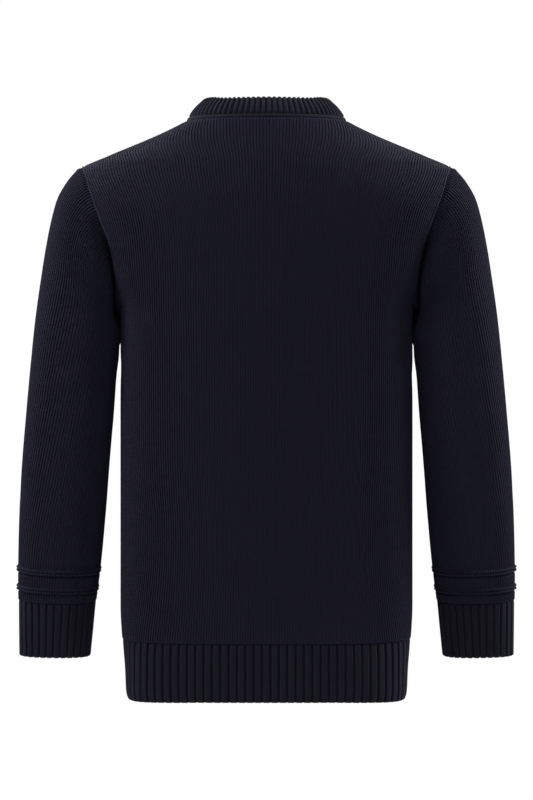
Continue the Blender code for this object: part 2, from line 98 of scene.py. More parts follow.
TORSO_COLUMNS = ("height", "half_width", "back_depth", "front_depth", "squareness")
TORSO_ROWS = (
    (-0.7200, 0.1718, 0.0920, 0.1090, 4.10),
    (-0.7000, 0.1722, 0.0920, 0.1090, 4.10),
    (-0.6580, 0.1735, 0.0920, 0.1100, 3.80),
    (-0.6300, 0.1757, 0.0920, 0.1100, 3.40),
    (-0.5950, 0.1780, 0.0925, 0.1100, 3.00),
    (-0.5000, 0.1783, 0.0940, 0.1110, 2.60),
    (-0.4000, 0.1783, 0.0980, 0.1140, 2.60),
    (-0.3000, 0.1783, 0.1040, 0.1190, 2.60),
    (-0.2320, 0.1783, 0.1085, 0.1210, 2.60),
    (-0.2140, 0.1844, 0.1095, 0.1215, 2.60),
    (-0.1965, 0.1914, 0.1100, 0.1215, 2.70),
    (-0.1766, 0.1990, 0.1105, 0.1210, 2.75),
    (-0.1600, 0.2036, 0.1110, 0.1200, 2.80),
    (-0.1455, 0.2085, 0.1115, 0.1185, 2.80),
    (-0.1310, 0.2145, 0.1115, 0.1160, 2.80),
    (-0.1140, 0.2203, 0.1115, 0.1130, 2.75),
    (-0.0965, 0.2263, 0.1105, 0.1075, 2.60),
    (-0.0810, 0.2300, 0.1090, 0.1010, 2.40),
    (-0.0680, 0.2300, 0.1070, 0.0935, 2.20),
    (-0.0555, 0.2245, 0.1045, 0.0845, 2.05),
    (-0.0480, 0.2095, 0.1025, 0.0785, 2.00),
    (-0.0380, 0.1832, 0.0995, 0.0700, 2.00),
    (-0.0283, 0.1592, 0.0965, 0.0610, 2.00),
    (-0.0185, 0.1358, 0.0935, 0.0525, 2.05),
    (-0.0086, 0.1145, 0.0905, 0.0450, 2.10),
    (0.0000, NECK_HALF_WIDTH, 0.0880, 0.0400, 2.15),
    (0.0060, 0.0860, 0.0860, 0.0370, 2.15),
)

SLEEVE_COLUMNS = (
    "outer_x", "outer_z", "inner_x", "inner_z", "middle_y", "half_depth", "drop", "squareness",
)
SLEEVE_ROWS = (
    (SHOULDER_TIP_X, SHOULDER_TIP_Z, 0.1792, UNDERARM_Z, -0.001, 0.066, 0.00, 2.2),
    (0.2310, -0.0588, 0.1791, -0.2335, -0.001, 0.067, 0.00, 2.2),
    (0.2400, -0.0677, 0.1790, -0.2360, -0.001, 0.069, 0.00, 2.2),
    (0.2480, -0.0790, 0.1790, -0.2385, -0.001, 0.070, 0.00, 2.2),
    (0.2560, -0.0940, 0.1790, -0.2415, -0.001, 0.070, 0.00, 2.2),
    (0.2625, -0.1170, 0.1790, -0.2450, -0.001, 0.070, 0.00, 2.2),
    (0.2700, -0.1540, 0.1790, -0.2510, -0.001, 0.069, 0.01, 2.2),
    (0.2765, -0.1950, 0.1790, -0.2600, -0.001, 0.067, 0.02, 2.2),
    (0.2830, -0.2400, 0.1793, -0.2740, -0.002, 0.065, 0.03, 2.2),
    (0.2895, -0.3000, 0.1846, -0.3100, -0.004, 0.062, 0.04, 2.2),
    (0.2955, -0.3600, 0.1888, -0.3660, -0.008, 0.059, 0.05, 2.2),
    (0.3012, -0.4220, 0.1947, -0.4260, -0.013, 0.056, 0.06, 2.2),
    (0.3050, -0.4800, 0.2003, -0.4835, -0.019, 0.052, 0.06, 2.2),
    (0.3071, -0.5300, 0.2052, -0.5330, -0.025, 0.047, 0.06, 2.2),
    (0.3079, -0.5600, 0.2087, -0.5625, -0.028, 0.042, 0.06, 2.2),
    (0.3080, -0.5900, 0.2127, -0.5920, -0.031, 0.036, 0.06, 2.3),
    (0.3082, -0.6170, 0.2155, -0.6190, -0.034, 0.032, 0.06, 2.4),
    (0.3083, -0.6577, 0.2198, -0.6592, -0.038, 0.028, 0.06, 2.5),
)
CUFF_SEAM_Z = -0.5880
ARMHOLE_FADE = 0.10

NECK_PROFILE = (              # inwards and up from the neck seam
    (0.0000, 0.0000),
    (0.0042, 0.0082),
    (0.0112, 0.0169),
    (0.0178, 0.0226),
    (0.0222, 0.0264),
)


# %% Smooth curves through the tables
def column(rows, names, name):
    """One named column of a table as an array."""
    return np.array([row[names.index(name)] for row in rows])


def smooth(x, xs, ys):
    """A curve through the points (xs, ys) that bends smoothly and never overshoots them."""
    widths, slopes = np.diff(xs), np.diff(ys) / np.diff(xs)
    tangents = np.empty(len(xs))
    tangents[0], tangents[-1] = slopes[0], slopes[-1]
    for i in range(1, len(xs) - 1):
        before, after = slopes[i - 1], slopes[i]
        if before * after <= 0:
            tangents[i] = 0.0
        else:
            near, far = 2 * widths[i] + widths[i - 1], widths[i] + 2 * widths[i - 1]
            tangents[i] = (near + far) / (near / before + far / after)
    x = np.clip(x, xs[0], xs[-1])
    i = np.clip(np.searchsorted(xs, x, side="right") - 1, 0, len(widths) - 1)
    t = (x - xs[i]) / widths[i]
    start = ys[i] * (1 + 2 * t) * (1 - t) ** 2 + tangents[i] * widths[i] * t * (1 - t) ** 2
    end = ys[i + 1] * t * t * (3 - 2 * t) + tangents[i + 1] * widths[i] * t * t * (t - 1)
    return start + end


def rounded_square(angle, squareness):
    """The cosine and sine of a circle that is pushed out towards a square. 2 leaves it round."""
    cosine, sine = np.cos(angle), np.sin(angle)
    powers = np.abs(cosine) ** squareness + np.abs(sine) ** squareness
    return cosine * powers ** (-1 / squareness), sine * powers ** (-1 / squareness)


def curve(x, rows):
    """A smooth curve through a table of two columns, places and values."""
    return smooth(x, *np.array(rows).T)


def eased(share):
    """A share from 0 to 1 that starts and ends gently."""
    return share * share * (3 - 2 * share)


def unit(vectors):
    return vectors / np.linalg.norm(vectors, axis=-1, keepdims=True)


def running(steps):
    """The distance travelled at each point of a path, from the lengths of its steps."""
    return np.concatenate([[0], np.cumsum(steps)])


def path_run(points):
    return running(np.linalg.norm(np.diff(points, axis=0), axis=1))


def torso_value(height, name):
    heights = column(TORSO_ROWS, TORSO_COLUMNS, "height")
    return smooth(height, heights, column(TORSO_ROWS, TORSO_COLUMNS, name))


SOFT_RADIUS = 0.026           # the worn cloth rounds over the shoulder line within this height
SOFT_HEIGHTS = np.linspace(TORSO_ROWS[0][0], TORSO_ROWS[-1][0], 727)
SOFT_OFFSETS = np.linspace(-1, 1, 17)[1:-1]
SOFT_WEIGHTS = (1 + np.cos(math.pi * SOFT_OFFSETS)) / np.sum(1 + np.cos(math.pi * SOFT_OFFSETS))
SOFT_CURVES = {
    name: sum(weight * torso_value(SOFT_HEIGHTS + offset * SOFT_RADIUS, name)
              for offset, weight in zip(SOFT_OFFSETS, SOFT_WEIGHTS))
    for name in TORSO_COLUMNS[1:]
}


def softened_value(height, name):
    """A value of the torso averaged over the heights about it, which rounds off every bend."""
    return np.interp(height, SOFT_HEIGHTS, SOFT_CURVES[name])


def sleeve_reach():
    """Length along the outside of the arm at each row of the sleeve table."""
    x = column(SLEEVE_ROWS, SLEEVE_COLUMNS, "outer_x")
    z = column(SLEEVE_ROWS, SLEEVE_COLUMNS, "outer_z")
    return running(np.hypot(np.diff(x), np.diff(z)))


def sleeve_value(reach, name):
    return smooth(reach, sleeve_reach(), column(SLEEVE_ROWS, SLEEVE_COLUMNS, name))


def reach_at_height(height):
    return float(np.interp(-height, -column(SLEEVE_ROWS, SLEEVE_COLUMNS, "outer_z"), sleeve_reach()))


print("sleeve length along the top in mm:", round(1000 * sleeve_reach()[-1]))

# %% [markdown]
# ## Addressing the body like cloth
#
# To lay knitting on the body, each point needs an address in cloth: how far it is along the cloth
# from the middle of the panel, and how high. A table of ring lengths turns such an address into a
# point. The same could be done by unwrapping a mesh, but the table keeps every wale exact.

# %% The back and front of the body
RING_SAMPLES, HEIGHT_SAMPLES = 241, 181
BODY_CENTRE = np.array([0.0, 0.0, -0.35])


class TorsoSide:
    """The back or the front of the body, addressed by height and by share of the way round."""

    def __init__(self, side):
        self.side = side
        heights = column(TORSO_ROWS, TORSO_COLUMNS, "height")
        self.heights = np.linspace(heights[0], heights[-1], HEIGHT_SAMPLES)
        angles = np.linspace(0, math.pi, RING_SAMPLES)
        self.shares = np.linspace(0, 1, RING_SAMPLES)
        self.angle_table = np.empty((HEIGHT_SAMPLES, RING_SAMPLES))
        self.lengths = np.empty(HEIGHT_SAMPLES)
        for i, height in enumerate(self.heights):
            x, y = self.half_ring(np.full(RING_SAMPLES, height), angles)
            run = running(np.hypot(np.diff(x), np.diff(y)))
            self.lengths[i] = run[-1]
            self.angle_table[i] = np.interp(self.shares, run / run[-1], angles)

    def half_ring(self, height, angle, value=torso_value):
        across, out = rounded_square(angle, value(height, "squareness"))
        facing = 1 if self.side == "back" else -1
        return value(height, "half_width") * across, facing * value(height, self.side + "_depth") * out

    def angle(self, height, share):
        row = np.interp(height, self.heights, np.arange(HEIGHT_SAMPLES))
        place = np.clip(share, 0, 1) * (RING_SAMPLES - 1)
        i = np.minimum(row.astype(int), HEIGHT_SAMPLES - 2)
        j = np.minimum(place.astype(int), RING_SAMPLES - 2)
        up, along = row - i, place - j
        low = self.angle_table[i, j] * (1 - along) + self.angle_table[i, j + 1] * along
        high = self.angle_table[i + 1, j] * (1 - along) + self.angle_table[i + 1, j + 1] * along
        return low * (1 - up) + high * up

    def point(self, share, height, value=torso_value):
        share, height = np.broadcast_arrays(np.asarray(share, float), np.asarray(height, float))
        x, y = self.half_ring(height, self.angle(height, share), value)
        return np.stack([x, y, height], axis=-1)

    def length(self, height):
        return np.interp(height, self.heights, self.lengths)

    def share_at(self, height, axis, value):
        """The share of the way round, up to the middle, where |x| or |y| has this value."""
        shares = np.linspace(0, 0.5, RING_SAMPLES)
        points = np.abs(self.point(shares, height)[:, axis])
        if axis == 0:
            return np.interp(value, points[::-1], shares[::-1])
        return np.interp(value, points, shares)

    def normals(self, shares, heights):
        """Outward normals. At the side and shoulder seams they have no part along Y."""
        step = 0.002
        inside = np.clip(shares, step, 1 - step)
        below_top = np.minimum(heights, self.heights[-1] - step)
        found = normals(self.point, inside, below_top, step, step)
        on_seam = (shares < 2 * step) | (shares > 1 - 2 * step)
        found[..., 1] = np.where(on_seam, 0, found[..., 1])
        return facing_out(unit(found), self.point(shares, heights))


def normals(surface, u, v, step_u, step_v):
    """Unit normals of a surface function at u, v, from small steps to each side."""
    along_u = surface(u + step_u, v) - surface(u - step_u, v)
    along_v = surface(u, v + step_v) - surface(u, v - step_v)
    return unit(np.cross(along_u, along_v))


def facing_out(found, points):
    """The same normals of the body, turned round where they look inwards."""
    outward = np.sum(found * (points - BODY_CENTRE), axis=-1, keepdims=True)
    return np.where(outward >= 0, found, -found)


SIDES = {name: TorsoSide(name) for name in ("back", "front")}
print("chest all round in mm:", round(1000 * sum(s.length(UNDERARM_Z) for s in SIDES.values())))


# %% The armholes and the neckline
def armhole_reach(side_name, height):
    """How far the armhole seam stands back or forward of the shoulder line at a height."""
    middle, half = (SHOULDER_TIP_Z + UNDERARM_Z) / 2, (SHOULDER_TIP_Z - UNDERARM_Z) / 2
    up = np.clip(np.abs((height - middle) / half), 0, 1)
    return ARMHOLE_BULGE[side_name] * (1 - up ** ARMHOLE_SQUARENESS) ** (1 / ARMHOLE_SQUARENESS)


def armhole_loop(turns):
    """(points, normals) of the armhole seam on the +X side. Turn 0 is the shoulder tip, 0.25 the
    back, and the loop is held off the body a little towards the underarm."""
    points, outwards = [], []
    middle, half = (SHOULDER_TIP_Z + UNDERARM_Z) / 2, (SHOULDER_TIP_Z - UNDERARM_Z) / 2
    for turn in turns:
        up, out = rounded_square(2 * math.pi * turn, ARMHOLE_SQUARENESS)
        name = "back" if math.sin(2 * math.pi * turn) >= 0 else "front"
        height, side = middle + half * up, SIDES[name]
        share = side.share_at(height, 1, ARMHOLE_BULGE[name] * abs(out))
        outward = side.normals(np.array([share]), np.array([height]))[0]
        lower = (1 - math.cos(2 * math.pi * turn)) / 2
        points.append(side.point(share, height) + UNDERARM_CLEARANCE * lower * outward)
        outwards.append(outward)
    return np.array(points), np.array(outwards)


def neckline(side, share):
    """(share round the body, height) of the neck seam at a share of the way along it."""
    across, down = rounded_square(math.pi * share, NECK_SQUARENESS)
    if side.side == "back":
        return share, -NAPE_DROP * float(down)
    height = -FRONT_NECK_DROP * float(down)
    near = float(side.share_at(height, 0, NECK_HALF_WIDTH * abs(across)))
    return (near if share <= 0.5 else 1 - near), height


# %% [markdown]
# ## The gauge
#
# Gauge is how many stitches lie in a length of cloth. This is a heavy plain knit, with a wale about
# 3.1 mm wide on the chest and a course about 2.1 mm high. Worn knitting isn't even: the wales fan
# out and widen over the shoulder blades, where the cloth is stretched, and lie closest together at
# the waist. One curve of spacing against height carries that.

# %% Wales over the body and down the arms
WALE = 0.0031
COURSE = 0.0021
WALE_DEPTH = 0.0015           # from the furrow between two wales to the top of a leg
HALF_PANEL_WALES = 70
FAN = 0.8                     # how much more the outer wales fan out than the middle ones
SPREAD_ROWS = (                # height and spacing
    (-0.64, 1.01), (-0.52, 0.955), (-0.40, 0.985), (-0.16, 1.00), (-0.117, 1.03),
    (-0.094, 1.075), (-0.070, 1.13), (-0.046, 1.20), (-0.020, 1.27), (0.006, 1.30),
)
SLEEVE_WALE = 0.0037
SLEEVE_SPREAD_ROWS = ((0.0, 1.06), (0.20, 1.02), (0.36, 0.99), (0.46, 0.93), (0.56, 0.88))
SPIRAL_START, SPIRAL = 0.12, 0.14   # below this reach the wales drift towards the front


def wale_distance(wale, height):
    """Distance along the cloth from the middle of a panel to a wale, at a height."""
    spacing = curve(height, SPREAD_ROWS)
    return WALE * wale * (1 + (spacing - 1) * (1 + FAN * (wale / HALF_PANEL_WALES) ** 2))


def sleeve_distance(wale, reach):
    """Distance along the cloth from the top line of a sleeve to a wale, at a reach."""
    spacing = curve(reach, SLEEVE_SPREAD_ROWS)
    return SLEEVE_WALE * spacing * wale - SPIRAL * np.maximum(reach - SPIRAL_START, 0)


def wale_at(distance_of, distance, place, limit=110):
    """The wale that lies at a distance along the cloth: the inverse of the two functions above."""
    wales = np.linspace(-limit, limit, 881)
    return np.interp(distance, distance_of(wales, place), wales)


WALE_SECTION = ((0.0, 0.25, 0.5, 0.75, 1.0), (-0.5, 0.5, 0.2, 0.5, -0.5))


def wale_relief(wale):
    """Height of the plain knit at a wale: two legs of the stitches with a groove on each side."""
    return WALE_DEPTH * np.interp(wale % 1.0, *WALE_SECTION)


# %% [markdown]
# ## A wall of cloth
#
# Each piece is a closed wall: a fine outer surface, a plainer inner one, and rims round its edges.
# A grid of points that follows the wales has to be cut off at armholes, shoulders and neckline.
# A Boolean would do it and leave ragged triangles. Here the points past an edge slide back onto it,
# and merging the points that meet removes what was cut off.

# %% One builder for all the pieces
MERGE = 2e-6
SHARP = math.radians(75)


def grid_faces(rows, columns, first):
    r, c = np.mgrid[0:rows - 1, 0:columns - 1]
    a = first + r * columns + c
    return np.stack([a, a + 1, a + columns + 1, a + columns], axis=-1).reshape(-1, 4)


def rim(outer_ids, inner_ids):
    """Faces between a fine edge of the outer grid and the plainer edge of the inner grid."""
    share = (len(outer_ids) - 1) // (len(inner_ids) - 1)
    faces = []
    for k in range(len(inner_ids) - 1):
        fine = outer_ids[k * share:(k + 1) * share + 1]
        faces.append([*fine[::-1].tolist(), int(inner_ids[k]), int(inner_ids[k + 1])])
    return faces


def build_mesh(name, points, places, faces, wrong_sides, materials):
    """A mesh whose coinciding points are merged and whose faces look outwards."""
    mesh = bpy.data.meshes.new(name)
    mesh.from_pydata(points.tolist(), [], faces)
    corners = np.empty(len(mesh.loops), np.int32)
    mesh.loops.foreach_get("vertex_index", corners)
    layer = mesh.uv_layers.new(name="knit")
    layer.uv.foreach_set("vector", places[corners].astype(np.float32).ravel())
    mesh.polygons.foreach_set("material_index", np.asarray(wrong_sides, np.int32))
    shape = bmesh.new()
    shape.from_mesh(mesh)
    bmesh.ops.remove_doubles(shape, verts=shape.verts, dist=MERGE)
    if shape.calc_volume(signed=True) < 0:
        bmesh.ops.reverse_faces(shape, faces=shape.faces)
    shape.to_mesh(mesh)
    shape.free()
    mesh.shade_smooth()
    mesh.set_sharp_from_angle(angle=SHARP)
    for material in materials:
        mesh.materials.append(material)
    made = bpy.data.objects.new(name, mesh)
    bpy.context.scene.collection.objects.link(made)
    return made


def wall(name, outer, inner, outer_places, inner_places, materials, side_rims=True):
    """A closed wall between two grids that have the same rows. Grids that meet themselves, as on
    a tube, need no side rims, because merging closes them."""
    rows, columns = outer.shape[:2]
    inner_columns = inner.shape[1]
    points = np.concatenate([outer.reshape(-1, 3), inner.reshape(-1, 3)])
    places = np.concatenate([outer_places.reshape(-1, 2), inner_places.reshape(-1, 2)])
    first = rows * columns
    front = grid_faces(rows, columns, 0)
    back = grid_faces(rows, inner_columns, first)[:, ::-1]
    outer_ids = np.arange(first).reshape(rows, columns)
    inner_ids = first + np.arange(rows * inner_columns).reshape(rows, inner_columns)
    rims = rim(outer_ids[0], inner_ids[0]) + rim(outer_ids[-1, ::-1], inner_ids[-1, ::-1])
    if side_rims:
        rims += rim(outer_ids[::-1, 0], inner_ids[::-1, 0]) + rim(outer_ids[:, -1], inner_ids[:, -1])
    wrong_sides = [0] * len(front) + [1] * len(back) + [0] * len(rims)
    made = build_mesh(name, points, places, front.tolist() + back.tolist() + rims, wrong_sides, materials)
    triangles = sum(len(p.vertices) - 2 for p in made.data.polygons)
    print(name, "triangles:", triangles)
    return made


def cloth_wall(name, base, outward, relief, depth, places, stride, materials, hand=None):
    """A wall with its relief outside and its inner face at a depth, on every stride-th column. A
    tube has a hand, and is mirrored for the right one."""
    outer = base + relief[..., None] * outward
    inner = (base - depth * outward)[:, ::stride]
    return wall(name, mirrored(outer, hand), mirrored(inner, hand), places, places[:, ::stride],
                materials, side_rims=hand is None)


def mirrored(grid, hand):
    """A grid of the +X arm, or its mirror image for the right arm."""
    if hand != "right":
        return grid
    flipped = grid.copy()
    flipped[..., 0] *= -1
    return flipped


# %% [markdown]
# ## The yarn
#
# Worsted wool is spun from long combed fibres, so the yarn is smooth and the cloth matt, with a
# faint sheen where it turns away from the eye. It is yarn-dyed navy, nearly black, and the dye takes
# a little unevenly. The stitches are too fine for mesh, so their legs are a bump on top of the
# wales: strands that rise from the middle of each wale like a V, one V to each course. Tiled photos
# could show stitches too, but a formula in stitch units follows every wale on this garment.

# %% Helpers for materials
def linear(colour):
    """An sRGB hex colour as the linear red, green, blue and alpha that a shader takes."""
    channels = [int(colour[i:i + 2], 16) / 255 for i in (1, 3, 5)]
    return (*[c / 12.92 if c <= 0.04045 else ((c + 0.055) / 1.055) ** 2.4 for c in channels], 1.0)


def add(tree, kind, inputs=None, **settings):
    """Adds a node with its settings. An input is a value, or another node's output to link."""
    node = tree.nodes.new(kind)
    for name, value in settings.items():
        setattr(node, name, value)
    for key, value in (inputs or {}).items():
        if isinstance(value, bpy.types.NodeSocket):
            tree.links.new(value, node.inputs[key])
        else:
            node.inputs[key].default_value = value
    return node


def new_material(name, roughness, sheen, sheen_tint):
    made = bpy.data.materials.new(name)
    made.use_nodes = True
    shader = made.node_tree.nodes["Principled BSDF"]
    shader.inputs["Roughness"].default_value = roughness
    shader.inputs["IOR"].default_value = 1.54          # wool fibre
    shader.inputs["Specular IOR Level"].default_value = 0.08
    shader.inputs["Sheen Weight"].default_value = sheen
    shader.inputs["Sheen Roughness"].default_value = 0.45
    shader.inputs["Sheen Tint"].default_value = linear(sheen_tint)
    return made, shader


# %% The stitch pattern and the worsted materials
STITCH_BUMP = 0.00045         # metres from the gap between two strands to the top of a strand
LEG_RISE = 0.75               # courses that a leg rises from the middle of its wale to its edge


def stitch_height(tree, wrong_side):
    """Height of plain knitting, 0 to 1: V legs on the right side, bars of purl on the wrong one."""
    places = add(tree, "ShaderNodeUVMap", uv_map="knit")
    split = add(tree, "ShaderNodeSeparateXYZ", {0: places.outputs[0]})
    across = add(tree, "ShaderNodeMath", {0: split.outputs["X"]}, operation="FRACT")
    centred = add(tree, "ShaderNodeMath", {0: across.outputs[0], 1: 0.5}, operation="SUBTRACT")
    off_middle = add(tree, "ShaderNodeMath", {0: centred.outputs[0]}, operation="ABSOLUTE")
    rise = -1.0 if wrong_side else 2 * LEG_RISE
    lean = add(tree, "ShaderNodeMath", {0: off_middle.outputs[0], 1: -rise}, operation="MULTIPLY")
    course = add(tree, "ShaderNodeMath", {0: split.outputs["Y"], 1: lean.outputs[0]}, operation="ADD")
    phase = add(tree, "ShaderNodeMath", {0: course.outputs[0], 1: math.tau}, operation="MULTIPLY")
    strand = add(tree, "ShaderNodeMath", {0: phase.outputs[0]}, operation="COSINE")
    lifted = add(tree, "ShaderNodeMath", {0: strand.outputs[0], 1: 0.5, 2: 0.5}, operation="MULTIPLY_ADD")
    round_top = add(tree, "ShaderNodeMath", {0: lifted.outputs[0], 1: 0.6}, operation="POWER")
    return round_top.outputs[0], places.outputs[0]


def worsted(name, colour, highlight_and_pale_dye_colour, wrong_side=False):
    """Navy worsted knit. Slow clouds and short flecks vary the dye; the tops of the strands are painted
    lighter as a highlight and the gaps between them darker as shade.
    """
    made, shader = new_material(name, 0.90, 0.05, "#9a9fc4")
    tree = made.node_tree
    height, places = stitch_height(tree, wrong_side)
    metres = add(tree, "ShaderNodeTexCoord")
    clouds = add(
        tree, "ShaderNodeTexNoise",
        {"Vector": metres.outputs["Object"], "Scale": 90.0, "Detail": 3.0, "Roughness": 0.6},
    )
    stretched = add(tree, "ShaderNodeMapping", {"Vector": places, "Scale": (1.0, 0.35, 1.0)})
    flecks = add(
        tree, "ShaderNodeTexNoise",
        {"Vector": stretched.outputs[0], "Scale": 1.1, "Detail": 2.0, "Roughness": 0.7},
    )
    mixed = add(tree, "ShaderNodeMath", {0: clouds.outputs["Fac"], 1: flecks.outputs["Fac"]}, operation="ADD")
    dye = add(
        tree, "ShaderNodeMapRange",
        {"Value": mixed.outputs[0], "From Min": 0.7, "From Max": 1.3, "To Min": 0.1, "To Max": 0.45},
    )
    # painted highlight and shade: the base colour is lighter on the tops of the strands and darker in the
    # gaps between them, added to the random tone of the dye
    painted_highlight_and_dye = add(tree, "ShaderNodeMath", {0: height, 1: 0.35, 2: dye.outputs[0]}, operation="MULTIPLY_ADD")
    tone = add(
        tree, "ShaderNodeMix",
        {"Factor": painted_highlight_and_dye.outputs[0], "A": linear(colour), "B": linear(highlight_and_pale_dye_colour)},
        data_type="RGBA",
    )
    tree.links.new(tone.outputs["Result"], shader.inputs["Base Color"])
    fibres = add(
        tree, "ShaderNodeTexNoise",
        {"Vector": metres.outputs["Object"], "Scale": 2400.0, "Detail": 2.0},
    )
    rough = add(
        tree, "ShaderNodeMath", {0: fibres.outputs["Fac"], 1: 0.18, 2: height}, operation="MULTIPLY_ADD",
    )
    bump = add(
        tree, "ShaderNodeBump",
        {"Height": rough.outputs[0], "Distance": STITCH_BUMP, "Strength": 0.9},
    )
    tree.links.new(bump.outputs[0], shader.inputs["Normal"])
    return made


# each pair of colours: the shade painted in the gaps between strands, then the highlight painted on their
# tops, which the palest dye reaches too
PLAIN = worsted("worsted_plain_knit", "#0f0e18", "#1e1d2c")
PURL = worsted("worsted_wrong_side", "#0f0e17", "#1b1a27", wrong_side=True)
# painted shade: the rib is the same yarn as the plain knit, but its colours are darker, standing in for the
# shade in its deep furrows
RIB_KNIT_PAINTED_SHADE = worsted("worsted_rib_knit_painted_shade", "#0c0b12", "#181723")
# painted highlight: the linking yarn round the armholes gets colours about twice as light as the plain
# knit's, standing in for the light caught along that raised seam
LINKING_PAINTED_HIGHLIGHT = worsted("linking_yarn_painted_highlight", "#1c1b29", "#2d2c3f")
print("materials:", [m.name for m in (PLAIN, PURL, RIB_KNIT_PAINTED_SHADE, LINKING_PAINTED_HIGHLIGHT)])

# %% [markdown]
# ## Soft creases
#
# The sweater hangs smooth, yet cloth always pulls a little: from the underarms across the blades,
# in shallow flutes above the hem, and in the bend of each sleeve. Each crease is placed one by one
# as a soft trough with its own ends, width and depth. Simulated cloth would crease as well, but
# a slim sweater on a still form shows so few that placing them is surer.

# %% Crease tables, in metres of cloth
CREASE_COLUMNS = ("start_across", "start_along", "end_across", "end_along", "half_width", "depth")
BACK_CREASES = (
    (0.222, -0.246, 0.128, -0.318, 0.0115, 0.0020),
    (0.236, -0.282, 0.172, -0.366, 0.0100, 0.0013),
    (-0.218, -0.250, -0.118, -0.330, 0.0125, 0.0022),
    (-0.232, -0.300, -0.170, -0.372, 0.0090, 0.0012),
    (0.150, -0.470, 0.040, -0.492, 0.0150, 0.0012),
    (-0.176, -0.438, -0.060, -0.470, 0.0140, 0.0014),
    (0.112, -0.622, 0.098, -0.548, 0.0160, 0.0012),
    (-0.074, -0.624, -0.082, -0.560, 0.0180, 0.0010),
    (-0.168, -0.620, -0.158, -0.530, 0.0130, 0.0013),
    (0.020, -0.060, 0.085, -0.094, 0.0160, 0.0010),
    (-0.032, -0.066, -0.102, -0.110, 0.0150, 0.0011),
)
FRONT_CREASES = (
    (0.224, -0.250, 0.150, -0.336, 0.0120, 0.0022),
    (0.232, -0.296, 0.140, -0.398, 0.0100, 0.0014),
    (-0.226, -0.246, -0.140, -0.322, 0.0110, 0.0021),
    (-0.230, -0.284, -0.176, -0.380, 0.0110, 0.0013),
    (0.186, -0.474, 0.066, -0.510, 0.0150, 0.0013),
    (-0.140, -0.500, -0.030, -0.520, 0.0140, 0.0011),
    (0.138, -0.622, 0.128, -0.552, 0.0150, 0.0012),
    (0.030, -0.624, 0.038, -0.572, 0.0170, 0.0009),
    (-0.120, -0.622, -0.108, -0.548, 0.0150, 0.0013),
)
SLEEVE_CREASES = (
    (0.150, 0.120, 0.060, 0.185, 0.0100, 0.0016),
    (0.130, 0.235, 0.030, 0.268, 0.0120, 0.0018),
    (0.118, 0.292, 0.020, 0.300, 0.0110, 0.0016),
    (-0.126, 0.262, -0.020, 0.292, 0.0120, 0.0020),
    (-0.120, 0.330, -0.034, 0.318, 0.0110, 0.0014),
    (-0.140, 0.140, -0.070, 0.200, 0.0100, 0.0014),
    (0.090, 0.405, 0.000, 0.420, 0.0120, 0.0012),
    (-0.088, 0.430, -0.014, 0.446, 0.0110, 0.0012),
)


def crease_depth(across, along, creases):
    """How deep the troughs are at places in the cloth. Each fades out towards its two ends."""
    total = np.zeros(np.broadcast(across, along).shape)
    for row in creases:
        crease = dict(zip(CREASE_COLUMNS, row))
        run_across = crease["end_across"] - crease["start_across"]
        run_along = crease["end_along"] - crease["start_along"]
        span = math.hypot(run_across, run_along)
        off_across, off_along = across - crease["start_across"], along - crease["start_along"]
        travelled = (off_across * run_across + off_along * run_along) / span ** 2
        aside = (off_across * run_along - off_along * run_across) / span
        ends = np.clip(travelled, 0, 1)
        strength = np.sin(math.pi * ends ** 0.7) ** 1.2
        total += crease["depth"] * strength * np.exp(-(aside / crease["half_width"]) ** 2)
    return total


# %% [markdown]
# ## Back and front
#
# Each panel is knitted upwards from its hem rib and narrowed round the armholes and neck. The
# columns of its grid are wales, four points to each, and its rows are heights, closer together
# where an edge runs nearly level. The edge of the armhole is cut row by row, the shoulder and
# neckline wale by wale, so neither becomes a staircase.

# %% Knit the panels
POINTS_PER_WALE = 4
WALE_STEP, HEIGHT_STEP = 0.25, 0.001   # small steps that the cloth's normals are taken over
GROOVE_WIDTH, GROOVE_DEPTH = 0.0022, 0.0011
PANEL_SPANS = (
    (HEM_SEAM_Z, HEM_SEAM_Z + GROOVE_WIDTH, 4), (HEM_SEAM_Z + GROOVE_WIDTH, UNDERARM_Z, 50),
    (UNDERARM_Z, -0.222, 5), (-0.222, -0.066, 26), (-0.066, SHOULDER_TIP_Z, 8),
    (SHOULDER_TIP_Z, 0.0, 24),
)


def spans(table):
    """Places along a line, from a table of stretches and how many steps each takes."""
    runs = [np.linspace(start, end, steps + 1)[:-1] for start, end, steps in table]
    return np.concatenate(runs + [[table[-1][1]]])


def side_limit(side, height):
    """Distance along the cloth from the middle to the side seam or the armhole at a height."""
    edge = 0.0
    if UNDERARM_Z < height < SHOULDER_TIP_Z:
        edge = float(side.share_at(height, 1, armhole_reach(side.side, height)))
    return (0.5 - edge) * float(side.length(height)) - HALF_SEAM


def top_outline(side):
    """(wales, heights) of a panel's top edge: half the neckline, then the shoulder seam."""
    wales, heights = [], []
    for share in np.linspace(0.5, 0, 61):
        place, height = neckline(side, share)
        wales.append(wale_at(wale_distance, (0.5 - place) * side.length(height), height))
        heights.append(height)
    for height in np.linspace(0, SHOULDER_TIP_Z, 41)[1:]:
        wales.append(wale_at(wale_distance, side.length(height) / 2 - HALF_SEAM, height))
        heights.append(height)
    return np.maximum.accumulate(np.array(wales)), np.array(heights)


def panel_places(side):
    """(wales, heights) of a panel's points, cut off at its edges."""
    rows = spans(PANEL_SPANS)
    limits = [wale_at(wale_distance, side_limit(side, min(z, SHOULDER_TIP_Z)), min(z, SHOULDER_TIP_Z))
              for z in rows]
    half = math.ceil(max(limits))
    across = np.arange(-half * POINTS_PER_WALE, half * POINTS_PER_WALE + 1) / POINTS_PER_WALE
    wales = np.stack([np.clip(across, -limit, limit) for limit in limits])
    heights = np.minimum(rows[:, None], np.interp(np.abs(wales), *top_outline(side)))
    return wales, heights


